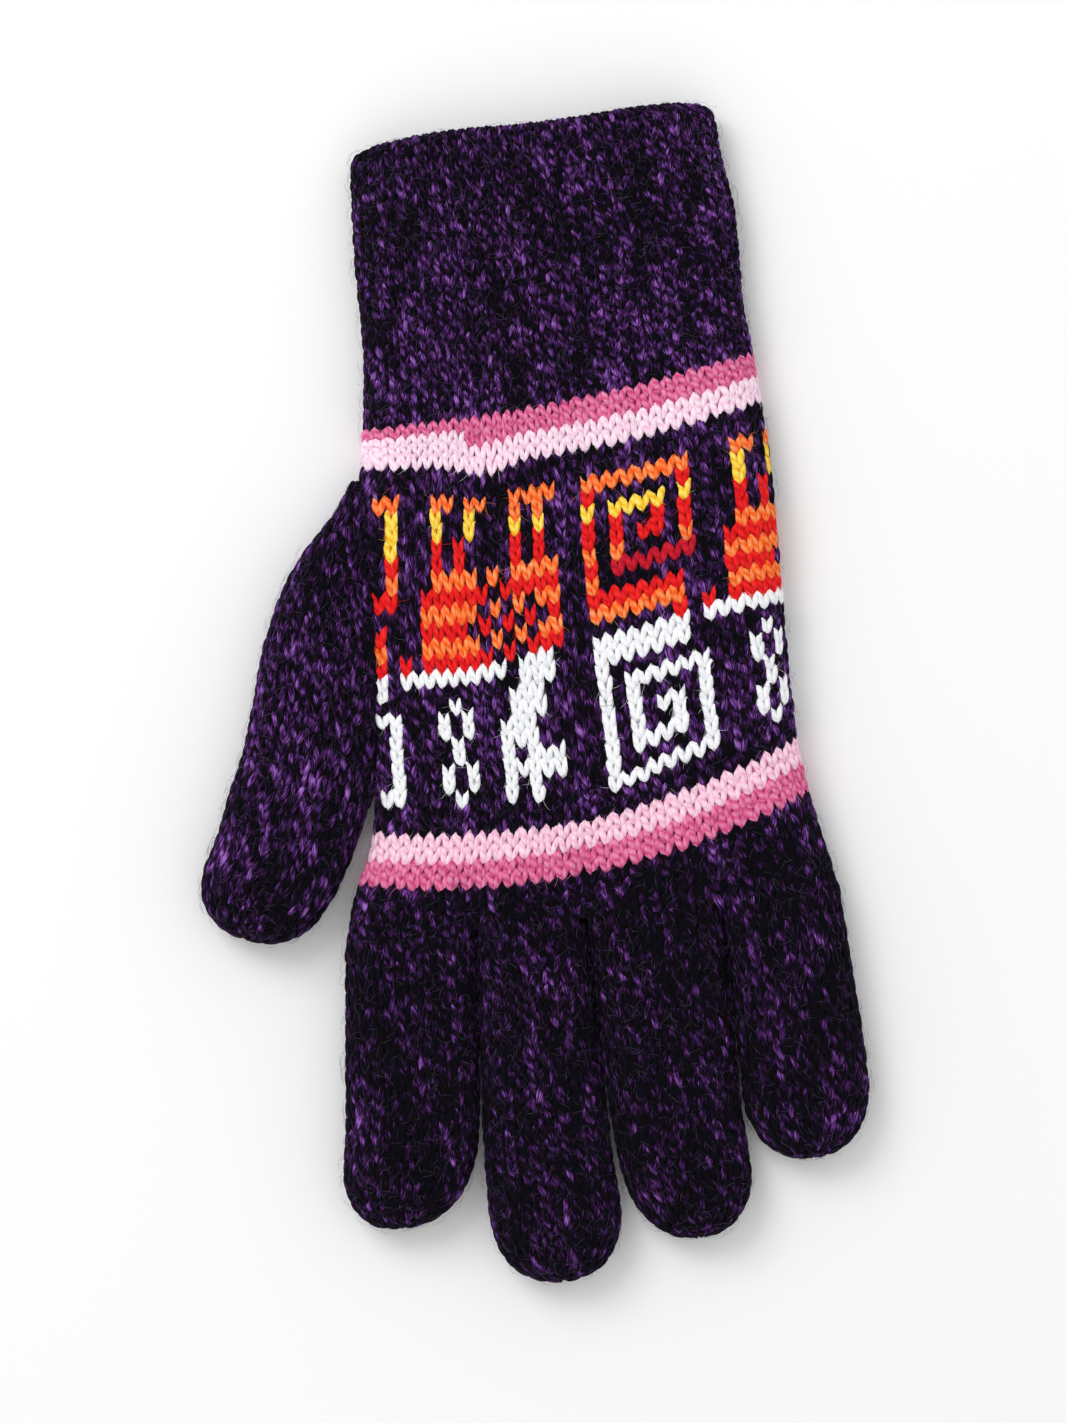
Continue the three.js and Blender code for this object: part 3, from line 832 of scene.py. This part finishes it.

# The stripes and the band of llamas, square spirals and ladders, knitted in with bright yarns.
# One stitch of the band is one letter of its chart, which goes on round the tube. The chart is
# turned as the glove lies, so that its first row is the one nearest the cuff.
# Each yarn: its name, a deep colour that is its own colour in painted shade, its own colour, and a
# light colour that is partly a painted highlight.
YARNS = {
    "M": None,
    "D": ("deep_pink_yarn", (0.36, 0.020, 0.100), (0.70, 0.100, 0.270), (0.90, 0.330, 0.520)),
    "P": ("pale_pink_yarn", (0.78, 0.350, 0.540), (0.98, 0.700, 0.840), (1.00, 0.880, 0.950)),
    "Q": ("warm_pink_yarn", (0.72, 0.230, 0.400), (0.96, 0.570, 0.720), (1.00, 0.780, 0.880)),
    "W": ("white_yarn", (0.66, 0.680, 0.740), (0.93, 0.940, 0.960), (1.00, 1.000, 1.000)),
    "R": ("red_yarn", (0.36, 0.001, 0.004), (0.78, 0.003, 0.008), (0.95, 0.030, 0.020)),
    "C": ("crimson_yarn", (0.22, 0.001, 0.010), (0.50, 0.003, 0.018), (0.72, 0.015, 0.040)),
    "O": ("orange_yarn", (0.74, 0.030, 0.003), (1.00, 0.145, 0.014), (1.00, 0.430, 0.160)),
    "Y": ("yellow_yarn", (0.68, 0.240, 0.006), (1.00, 0.640, 0.030), (1.00, 0.860, 0.220)),
}
BAND_CHART = [
    "...OO.OO..OOOO..OOOOOOOO",
    "...Y..Y...O.O...R......R",
    "...Y..Y...Y.Y...Y.YYYY.Y",
    "...R.R....R.R...R.R..R.R",
    "...R.R....R.R...R.R.RR.R",
    "...OOOO.O.OOOO..O.O....O",
    "..RRRRRR.RRRRR..R.CCCCCC",
    "..OOOOO.O.O.OO..O.......",
    "..RRRR.R.R.R.R..RRRRRRR.",
    "..OOOOO.O.O.OO..OOOOOOO.",
    "R.RRRRRR.R.RRR........R.",
    "WWWWWWWWW.WWW...WWWWWWW.",
    "..........WWW...WWWWWWW.",
    "....W....WWW....W.......",
    "...W.W...WWW....W.WWWWWW",
    "...W.W..WWW.....W.W....W",
    "....W...WWW.....W.W.WW.W",
    "....W...W.WWW...W.W..W.W",
    "...W.W..WWWWW...W.WWWW.W",
    "...W.W..W.W.....W......W",
    "....W...W.W.....WWWWWWWW",
]
BAND_TOP_ROW = 30
BAND_MIDDLE_COLUMN = 15
STRIPES = {24: "D", 25: "D", 26: "P", 27: "P", 53: "Q", 54: "Q", 55: "D", 56: "D"}
LAST_CUFF_ROW = 27
# Where the rounds of a stripe begin, its first row is out of step
JOG_ROW = 25
JOG_COLUMN = -9
# Beside the thumb the band's motif has two colours, and where the thumb is picked up it has none
THUMB_SIDE_COLUMN = -15
THUMB_SIDE_YELLOW_ROW = 33
THUMB_PICK_UP = range(-24, -17)


def yarn_of(row, column):
    """The letter of the yarn that a stitch is worked in."""
    if BAND_TOP_ROW <= row < BAND_TOP_ROW + len(BAND_CHART):
        line = BAND_CHART[row - BAND_TOP_ROW]
        letter = line[(column + BAND_MIDDLE_COLUMN) % len(line)]
        if column in THUMB_PICK_UP:
            return "M"
        if letter in "RYC" and column <= THUMB_SIDE_COLUMN:
            return "Y" if row <= THUMB_SIDE_YELLOW_ROW else "R"
        return "M" if letter == "." else letter
    if row == JOG_ROW and column < JOG_COLUMN:
        return "P"
    return STRIPES.get(row, "M")


letters = np.array([yarn_of(row, column) for row, column in zip(cells["row"], cells["column"])])
is_cuff = cells["row"] <= LAST_CUFF_ROW
knit("cuff_stitches", body, only(cells, (letters == "M") & is_cuff), marl, random)
knit("hand_stitches", body, only(cells, (letters == "M") & ~is_cuff), marl, random)
for letter, colors in YARNS.items():
    if colors:
        knit(colors[0].replace("_yarn", "_stitches"), body, only(cells, letters == letter),
             plain_yarn(*colors), random)

# The fabric behind the stitches: the back of the same knitting, which shows inside the cuff and
# in the grooves. Each is a closed wall between the stitches and the hollow, and behind a bright
# stitch it has that yarn's deep colour, the yarn in painted shade. The thumb's hole is cut out of
# the hand's.
STITCH_DEPTH = 0.80 * MM
BACK_TINT_REACH = 2.4 * MM
POINTS_AT_ONCE = 500
BACK_STEP = 4
CUFF_BACK_BELOW_RIM = 3.2 * MM
BACK_GAP = 0.2 * MM
CUFF_BACK_LOOPS = 24
HAND_BACK_LOOPS = 44
BACK_COLORS = [
    (0.40, (0.0015, 0.0015, 0.0030)),
    (0.58, (0.0060, 0.0030, 0.0110)),
    (0.75, (0.0600, 0.0300, 0.1100)),
]
BACK_SHEEN = (0.6, 0.5, 0.8)


def backing_material():
    material = bpy.data.materials.new("knit_back")
    make, shader, links = node_maker(material)
    place = make("ShaderNodeTexCoord").outputs["Object"]
    patch = make("ShaderNodeTexNoise", {
        "Vector": place, "Scale": 900.0, "Detail": 2.0}).outputs["Fac"]
    wave = make("ShaderNodeTexWave", {
        "Vector": place, "Scale": 105.0, "Distortion": 3.0, "Detail": 2.0, "Detail Scale": 3.0,
    }, bands_direction="Y").outputs["Fac"]
    marled = ramp(make, patch, BACK_COLORS)
    tint = make("ShaderNodeAttribute", attribute_name="Tint")
    mix = make("ShaderNodeMix", {
        0: tint.outputs["Alpha"], 6: marled, 7: tint.outputs["Color"]}, data_type="RGBA")
    links.new(mix.outputs[2], shader.inputs["Base Color"])
    relief(make, links, shader, math_node(make, "ADD", wave, patch), 0.7, 0.6 * MM)
    wool_finish(shader, 0.1, BACK_SHEEN)
    return material


backing = backing_material()


def tint_of(name, points):
    """The deep colour, in painted shade, of the yarn over each point of a back, and whether it is a
    bright one.
    """
    tint = np.zeros((len(points), 4))
    if name not in ("hand_back", "cuff_back"):
        return tint
    shown = cells["row"] >= 0
    middle = middles(body, only(cells, shown))
    yarn = letters[shown]
    # The deep colour of each bright yarn: its colour in painted shade.
    shaded_yarn_colors = np.array([YARNS[letter][1] if YARNS[letter] else (0, 0, 0) for letter in yarn])
    for start in range(0, len(points), POINTS_AT_ONCE):
        some = slice(start, start + POINTS_AT_ONCE)
        off = np.linalg.norm(points[some, None] - middle[None], axis=2)
        nearest = off.argmin(axis=1)
        tint[some, :3] = shaded_yarn_colors[nearest]
        tint[some, 3] = (yarn[nearest] != "M") & (off.min(axis=1) < BACK_TINT_REACH)
    return tint


def skinned(name, loops, ends=(), tinted=False):
    """A closed mesh over loops of points, which ends in two points or else meets itself."""
    sides = len(loops[0])
    points = np.concatenate(loops)
    faces = []
    for j in range(len(loops) - 1 if ends else len(loops)):
        here = j * sides
        there = (j + 1) % len(loops) * sides
        for i in range(sides):
            k = (i + 1) % sides
            faces.append((here + i, there + i, there + k, here + k))
    if ends:
        points = np.concatenate([points, np.array(ends)])
        last = (len(loops) - 1) * sides
        for i in range(sides):
            k = (i + 1) % sides
            faces.append((len(points) - 2, i, k))
            faces.append((last + k, last + i, len(points) - 1))
    sizes = np.array([len(face) for face in faces])
    corners = np.array([vertex for face in faces for vertex in face])
    return mesh_object(name, points, corners, sizes, tint=tint_of(name, points) if tinted else None)


def finish_back(piece, node):
    piece.data.materials.append(backing)
    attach(piece, "root")
    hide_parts(node)


def thinned(rings, step=BACK_STEP):
    return [loop[0][::step] for loop in rings]


def open_back(name, node, section_at, places):
    outside = thinned([ring(section_at(y), STITCH_DEPTH) for y in places], BACK_STEP // 2)
    inside = thinned([ring(section_at(y), WALL) for y in places[::-4]], BACK_STEP // 2)
    piece = skinned(name, outside + inside, tinted=True)
    finish_back(piece, node)
    return piece


open_back("cuff_back", "cuff", cuff_section,
          np.linspace(RIM_Y - CUFF_BACK_BELOW_RIM, SEAM_Y + BACK_GAP, CUFF_BACK_LOOPS))
hand_back = open_back("hand_back", "hand", hand_section,
                      np.linspace(SEAM_Y, FORK_Y + BACK_GAP, HAND_BACK_LOOPS))


def cut_with(piece, cutter):
    bpy.ops.object.select_all(action="DESELECT")
    bpy.context.view_layer.objects.active = piece
    piece.select_set(True)
    cut = piece.modifiers.new("opening", "BOOLEAN")
    cut.operation = "DIFFERENCE"
    cut.solver = "EXACT"
    cut.object = cutter
    bpy.ops.object.modifier_apply(modifier=cut.name)


bpy.ops.mesh.primitive_cube_add(size=1, location=(
    hand_side_x(THUMB_HOLE_Y) + WALL, THUMB_HOLE_Y, THUMB_HOLE_Z))
hole = bpy.context.object
hole.scale = (4 * WALL, THUMB_HOLE_LENGTH, THUMB_HOLE_HEIGHT)
bpy.ops.object.transform_apply(location=True, scale=True)
cut_with(hand_back, hole)

# The thumb. It is knitted of the marl in rounds from the slit to the tip, with its columns along
# its outer edge, and its stitches are taken together in pairs into a blunt round end. Its back is
# cut to the side of the hand.
THUMB_PITCH = 2.75 * MM
THUMB_ROW = 2.85 * MM
THUMB_OUTER_EDGE = -0.25
THUMB_LAST_ROW_ROOM = 0.3
THUMB_ROOT_SHARE = 0.55
PAIR_BELOW_PITCH = 0.62
FEWEST_COLUMNS = 5
THUMB_BACK_STEP = 2.5 * MM
BACK_TIP_STEPS = 8
HAND_SPACE_LOOPS = 30


def inside_section(section, point):
    """Whether a point lies inside a section at its own station."""
    edge = EDGE_SHARE * section["thickness"]
    off = abs(point[0] - section["centre"][0]) / (section["width"] / 2)
    rise = point[2] - edge
    if rise > 0:
        return off ** section["square"] + (rise / (section["thickness"] - edge)) ** 2 < 1
    return off ** UNDERSIDE_SQUARENESS + (rise / edge) ** 2 < 1


def inside_hand(point):
    if point[1] <= FORK_Y:
        return False
    section_at = hand_section if point[1] < SEAM_Y else cuff_section
    return inside_section(section_at(point[1]), point)


def columns_left(columns, girth, pitch):
    """How many columns are left when they are taken together in pairs as a tube narrows."""
    while girth / columns < PAIR_BELOW_PITCH * pitch and columns > FEWEST_COLUMNS:
        columns = (columns + 1) // 2
    return columns


def thumb_cells():
    """Rows square to the thumb, and columns counted from its outer edge, over and under."""
    found = []
    columns = round(thumb.girth.max() / THUMB_PITCH)
    last = thumb.places[0] - THUMB_LAST_ROW_ROOM * THUMB_ROW
    row = 0
    while -(row + 1) * THUMB_ROW > last:
        girth = float(thumb.girth_at(-(row + 1) * THUMB_ROW))
        if row * THUMB_ROW < THUMB_ROOT_SHARE * THUMB_LENGTH:
            count = int(girth / THUMB_PITCH)
            pitch = THUMB_PITCH / girth
        else:
            count = columns_left(columns, girth, THUMB_PITCH)
            pitch = 1 / count
        order = np.arange(count) - count // 2
        found.append((np.full(count, row), order, THUMB_OUTER_EDGE - (order + 0.5) * pitch,
                      np.full(count, pitch)))
        row += 1
    row, column, share, pitch = [np.concatenate(part) for part in zip(*found)]
    return cells_at(thumb, row, column, share, pitch,
                    lambda row, share: -row * THUMB_ROW + 0 * share)


cells_of_thumb = thumb_cells()
hidden = np.array([inside_hand(point) for point in middles(thumb, cells_of_thumb)])
cells_of_thumb = only(cells_of_thumb, ~hidden)
knit("thumb_stitches", thumb, cells_of_thumb, marl, random)

outer, _, outer_point = tube_to_tip(thumb_section, 0, THUMB_LENGTH, THUMB_TIP,
                                    STITCH_DEPTH, THUMB_BACK_STEP, BACK_TIP_STEPS)
inner, _, inner_point = tube_to_tip(
    thumb_section, THUMB_HOLLOW_FROM * THUMB_LENGTH, THUMB_LENGTH, THUMB_TIP,
    WALL, THUMB_BACK_STEP, BACK_TIP_STEPS)
hand_loops = thinned([ring(hand_section(y), 0)
                      for y in np.linspace(SEAM_Y, FORK_Y, HAND_SPACE_LOOPS)])
thumb_back = skinned("thumb_back", thinned(outer), [outer[0][0].mean(axis=0), outer_point])
thumb_space = skinned("thumb_space", thinned(inner), [inner[0][0].mean(axis=0), inner_point])
hand_space = skinned("hand_space", hand_loops,
                     [hand_loops[0].mean(axis=0), hand_loops[-1].mean(axis=0)])
for cutter in (thumb_space, hand_space, hole):
    cut_with(thumb_back, cutter)
    bpy.data.objects.remove(cutter)
finish_back(thumb_back, "thumb")

# The four fingers. The rows of the hand run on into them, bowed at the fork and straight at the
# tip. They are knitted of the marl alone, and at the tip the stitches are taken together in pairs
# until it is closed. Where they leave the hand, the outer ones have its rounded side.
FINGER_LEANS = [-0.109, -0.073, 0.017, 0.003, 0.060]
FINGER_TIP = 16 * MM
FINGER_SETTLE = 16 * MM
FINGER_PITCH = 2.85 * MM
FINGER_ROWS = range(56, 95)
FINGER_INTO_HAND = 6 * MM
FINGER_DRIFT_FROM = 0.6
FINGER_BACK_STEP = 3 * MM
FINGER_SECTIONS = [
    {"along": 0.00, "width": 1.000, "square": 1.0},
    {"along": 0.20, "width": 1.000, "square": 0.3},
    {"along": 0.50, "width": 0.995, "square": 0.0},
    {"along": 0.80, "width": 0.975, "square": 0.0},
    {"along": 1.00, "width": 0.960, "square": 0.0},
]


def crown(sideways, square):
    """How high a rounded section is from side to side, as a share of its height."""
    return (1 - np.abs(sideways).clip(0, 1) ** square) ** (1 / square)


def finger_section(index, distance):
    finger = FINGERS[index]
    along = distance / finger["length"]
    left = finger["start"] + FINGER_LEANS[index] * distance
    right = finger["start"] + finger["width"] + FINGER_LEANS[index + 1] * distance
    square = value_at(FINGER_SECTIONS, "square", along)
    squareness = FINGER_SQUARENESS + square * (HAND_SQUARENESS - FINGER_SQUARENESS)
    drift = finger["drift"] * finger["width"] * smooth_step(along, FINGER_DRIFT_FROM, 1)
    leave = smooth_step(distance, 0, FINGER_SETTLE)

    def settle(x, sideways, on_top):
        """The share of its height that a finger has where it leaves the hand's rounded side."""
        of_hand = (x - KNUCKLE_SHIFT) / (KNUCKLE_WIDTH / 2)
        top = crown(of_hand, HAND_SQUARENESS) / np.maximum(crown(sideways, squareness), 1e-6)
        under = (crown(of_hand, UNDERSIDE_SQUARENESS)
                 / np.maximum(crown(sideways, UNDERSIDE_SQUARENESS), 1e-6))
        return leave + (1 - leave) * np.minimum(np.where(on_top, top, under), 1)

    return {
        "centre": ((left + right) / 2 + drift, FORK_Y - distance),
        "width": (right - left) * value_at(FINGER_SECTIONS, "width", along),
        "thickness": FINGER_THICKNESS + square * (KNUCKLE_THICKNESS - FINGER_THICKNESS),
        "square": squareness,
        "settle": settle,
    }


def finger_cells(skin):
    """The stitches of one finger, on the lines of the hand's rows."""
    full_girth = float(np.median(skin.girth))
    columns = round(full_girth / FINGER_PITCH)

    def line_at(row, share):
        point = skin.at(share, MM * value_at(ROW_LINES, "middle", row))[0]
        return row_line(row, (point[..., 0] - KNUCKLE_SHIFT) / (KNUCKLE_WIDTH / 2))

    found = []
    for row in FINGER_ROWS:
        place = MM * float(value_at(ROW_LINES, "middle", row + 0.5))
        if place < skin.places[0]:
            break
        count = columns_left(columns, float(skin.girth_at(place)), full_girth / columns)
        order = np.arange(count) - count // 2
        found.append((np.full(count, row), order, (order + 0.5) / count, np.full(count, 1 / count)))
    row, column, share, pitch = [np.concatenate(part) for part in zip(*found)]
    cells = cells_at(skin, row, column, share, pitch, line_at)
    return only(cells, cells["place"] + 0.5 * cells["height"] <= FORK_Y)


fibre_beds = [("body", body, cells, letters),
              ("thumb", thumb, cells_of_thumb, np.full(len(cells_of_thumb["share"]), "M"))]
for index, finger in enumerate(FINGERS):
    name = finger["name"]
    length = finger["length"]
    section_at = functools.partial(finger_section, index)
    rings, along, _ = tube_to_tip(section_at, -FINGER_INTO_HAND, length, FINGER_TIP)
    skin = Skin(rings, FORK_Y - along)
    own = finger_cells(skin)
    knit(name + "_stitches", skin, own, marl, random)
    fibre_beds.append((name, skin, own, np.full(len(own["share"]), "M")))
    outer, _, outer_point = tube_to_tip(
        section_at, 0, length, FINGER_TIP, STITCH_DEPTH, FINGER_BACK_STEP, BACK_TIP_STEPS)
    inner, _, inner_point = tube_to_tip(
        section_at, 0, length, FINGER_TIP, WALL, FINGER_BACK_STEP, BACK_TIP_STEPS)
    finger_back = skinned(name + "_back", thinned(inner[::-1] + outer),
                          [inner_point, outer_point], tinted=True)
    finish_back(finger_back, name)

# Loose fibres of the alpaca. The real yarn is spun soft, so that fine hairs of its own colours
# work out of it all over the glove, and stand off its edges as a faint halo. Each here is a thin
# curved hair of four stations with three corners.
FIBRES = 7400
FIBRE_RADIUS = 0.024 * MM
FIBRE_THINNING = np.array([0.8, 1.0, 0.9, 0.5])
FIBRE_STATIONS = len(FIBRE_THINNING)
FIBRE_LENGTHS = (1.2, 3.2)
FIBRE_RISES = (0.05, 0.45)
FIBRE_FOOT = 0.12 * MM
FIBRE_ARCH_FROM = 0.12
FIBRE_ARCH = 0.55
FIBRE_ASIDE = np.array([0.31, 0.22, 0.93])
FIBRE_SHADES = (0.6, 1.5)
UNDERNEATH_SHARE = 0.12
HALO_FROM = 0.19
HALO_BY = 0.25
HALO_LONGER = 0.5
HALO_HIGHER = 2.0
FIBRE_TINTS = {
    "M": (0.085, 0.065, 0.125),
    "D": (0.75, 0.25, 0.45),
    "P": (0.95, 0.70, 0.82),
    "Q": (0.95, 0.60, 0.72),
    "W": (0.92, 0.92, 0.95),
    "R": (0.80, 0.03, 0.03),
    "C": (0.55, 0.02, 0.04),
    "O": (0.95, 0.25, 0.05),
    "Y": (0.98, 0.65, 0.10),
}


def fibre_material():
    material = bpy.data.materials.new("loose_fibre")
    make, shader, links = node_maker(material)
    tint = make("ShaderNodeAttribute", attribute_name="Tint").outputs["Color"]
    place = make("ShaderNodeTexCoord").outputs["Object"]
    shade = make("ShaderNodeTexNoise", {"Vector": place, "Scale": 600.0}).outputs["Fac"]
    shaded = make("ShaderNodeHueSaturation", {
        "Color": tint, "Value": weighted_sum(make, [(shade, 1.4)], 0.3)})
    links.new(shaded.outputs["Color"], shader.inputs["Base Color"])
    shader.inputs["Roughness"].default_value = 0.7
    shader.inputs["Specular IOR Level"].default_value = 0.3
    return material


def fibre_lines(skin, cells, pick, random):
    """The lines of the hairs, each from a place in its own stitch."""
    count = len(pick)
    share = cells["share"][pick]
    place = cells["place"][pick] + random.uniform(0, 1, count) * cells["height"][pick]
    halo = smooth_step(off_top(share), HALO_FROM, HALO_BY)
    girth = skin.girth_at(place)
    length = random.uniform(*FIBRE_LENGTHS, count) * MM * (1 + HALO_LONGER * halo)
    heading = random.uniform(0, 2 * math.pi, count)
    curl = random.uniform(-1.0, 1.0, count)
    rise = random.uniform(*FIBRE_RISES, count) * MM * (1 + HALO_HIGHER * halo)
    across = random.uniform(-0.5, 0.5, count) * cells["width"][pick]
    along = np.zeros(count)
    steps = FIBRE_STATIONS - 1
    stations = []
    for step in range(FIBRE_STATIONS):
        if step:
            turn = heading + curl * step / steps
            across = across + np.cos(turn) * length / steps
            along = along + np.sin(turn) * length / steps
        arch = math.sin(math.pi * (FIBRE_ARCH_FROM + FIBRE_ARCH * step / steps))
        lift = FIBRE_FOOT + rise * arch
        point, normal = skin.at(share + across / girth, place + along)
        stations.append(point + normal * lift[:, None])
    return np.stack(stations, axis=1)


def fibre_mesh(name, line, tint):
    """Three-cornered hairs round their lines."""
    run = np.gradient(line, axis=1)
    run = run / np.maximum(np.linalg.norm(run, axis=2, keepdims=True), 1e-9)
    aside = np.cross(run, FIBRE_ASIDE)
    aside = aside / np.maximum(np.linalg.norm(aside, axis=2, keepdims=True), 1e-9)
    above = np.cross(run, aside)
    radius = FIBRE_RADIUS * FIBRE_THINNING[None, :, None]
    points = []
    for angle in (0, 2 * math.pi / 3, 4 * math.pi / 3):
        points.append(line + radius * (math.cos(angle) * aside + math.sin(angle) * above))
    points = np.stack(points, axis=2).reshape(-1, 3)
    points[:, 2] = np.maximum(points[:, 2], LOWEST)
    per_fibre = 3 * FIBRE_STATIONS
    faces = [(0, 1, 2), (per_fibre - 1, per_fibre - 2, per_fibre - 3)]
    for first in range(0, per_fibre - 3, 3):
        for corner in range(3):
            other = (corner + 1) % 3
            faces.append((first + other, first + corner, first + 3 + corner, first + 3 + other))
    corners = np.array([vertex for face in faces for vertex in face])
    corners = (corners[None] + per_fibre * np.arange(len(line))[:, None]).ravel()
    sizes = np.tile([len(face) for face in faces], len(line))
    return mesh_object(name, points, corners, sizes, tint=np.repeat(tint, per_fibre, axis=0))


def fibres(name, skin, cells, letters, count, random):
    likely = np.where(cells["seen"], 1.0, UNDERNEATH_SHARE)
    pick = random.choice(len(likely), count, p=likely / likely.sum())
    line = fibre_lines(skin, cells, pick, random)
    tint = np.array([FIBRE_TINTS[letter] for letter in letters[pick]])
    tint = (tint * random.uniform(*FIBRE_SHADES, (count, 1))).clip(0, 1)
    piece = fibre_mesh(name, line, np.concatenate([tint, np.ones((count, 1))], axis=1))
    piece.data.materials.append(loose_fibre)
    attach(piece, "root")


loose_fibre = fibre_material()
stitches = sum(len(own["share"]) for _, _, own, _ in fibre_beds)
for name, skin, own, yarn in fibre_beds:
    fibres(name + "_fibres", skin, own, yarn, int(FIBRES * len(own["share"]) / stitches), random)

# The floor and the light. The glove lies on a plain white table, in the even light of a room with
# one broad soft lamp at the upper left, and its shadow falls short and soft to the lower right.
TABLE_SIDE = 3
TABLE_WHITE = (0.93, 0.93, 0.93)
ROOM_LIGHT = 0.80
LAMP_PLACE = (-0.55, 0.75, 1.0)
LAMP_SIZE = 0.7
LAMP_POWER = 7.4
bpy.ops.mesh.primitive_plane_add(size=TABLE_SIDE, location=(0, 0, 0))
floor = bpy.context.object
floor.name = "pale_table"
paper = bpy.data.materials.new("pale_table")
make, shader, links = node_maker(paper)
shader.inputs["Base Color"].default_value = (*TABLE_WHITE, 1)
shader.inputs["Roughness"].default_value = 0.9
floor.data.materials.append(paper)

world = bpy.data.worlds.new("studio")
world.use_nodes = True
world.node_tree.nodes["Background"].inputs["Color"].default_value = (1, 1, 1, 1)
world.node_tree.nodes["Background"].inputs["Strength"].default_value = ROOM_LIGHT
bpy.context.scene.world = world

bpy.ops.object.light_add(type="AREA", location=LAMP_PLACE)
key = bpy.context.object
key.name = "soft_key"
key.data.size = LAMP_SIZE
key.data.energy = LAMP_POWER
aim = -np.array(key.location)
flat = math.hypot(aim[0], aim[1])
key.rotation_euler = (math.atan2(flat, -aim[2]), 0, math.atan2(aim[1], aim[0]) - math.pi / 2)

scene = bpy.context.scene
scene.view_settings.view_transform = "Standard"
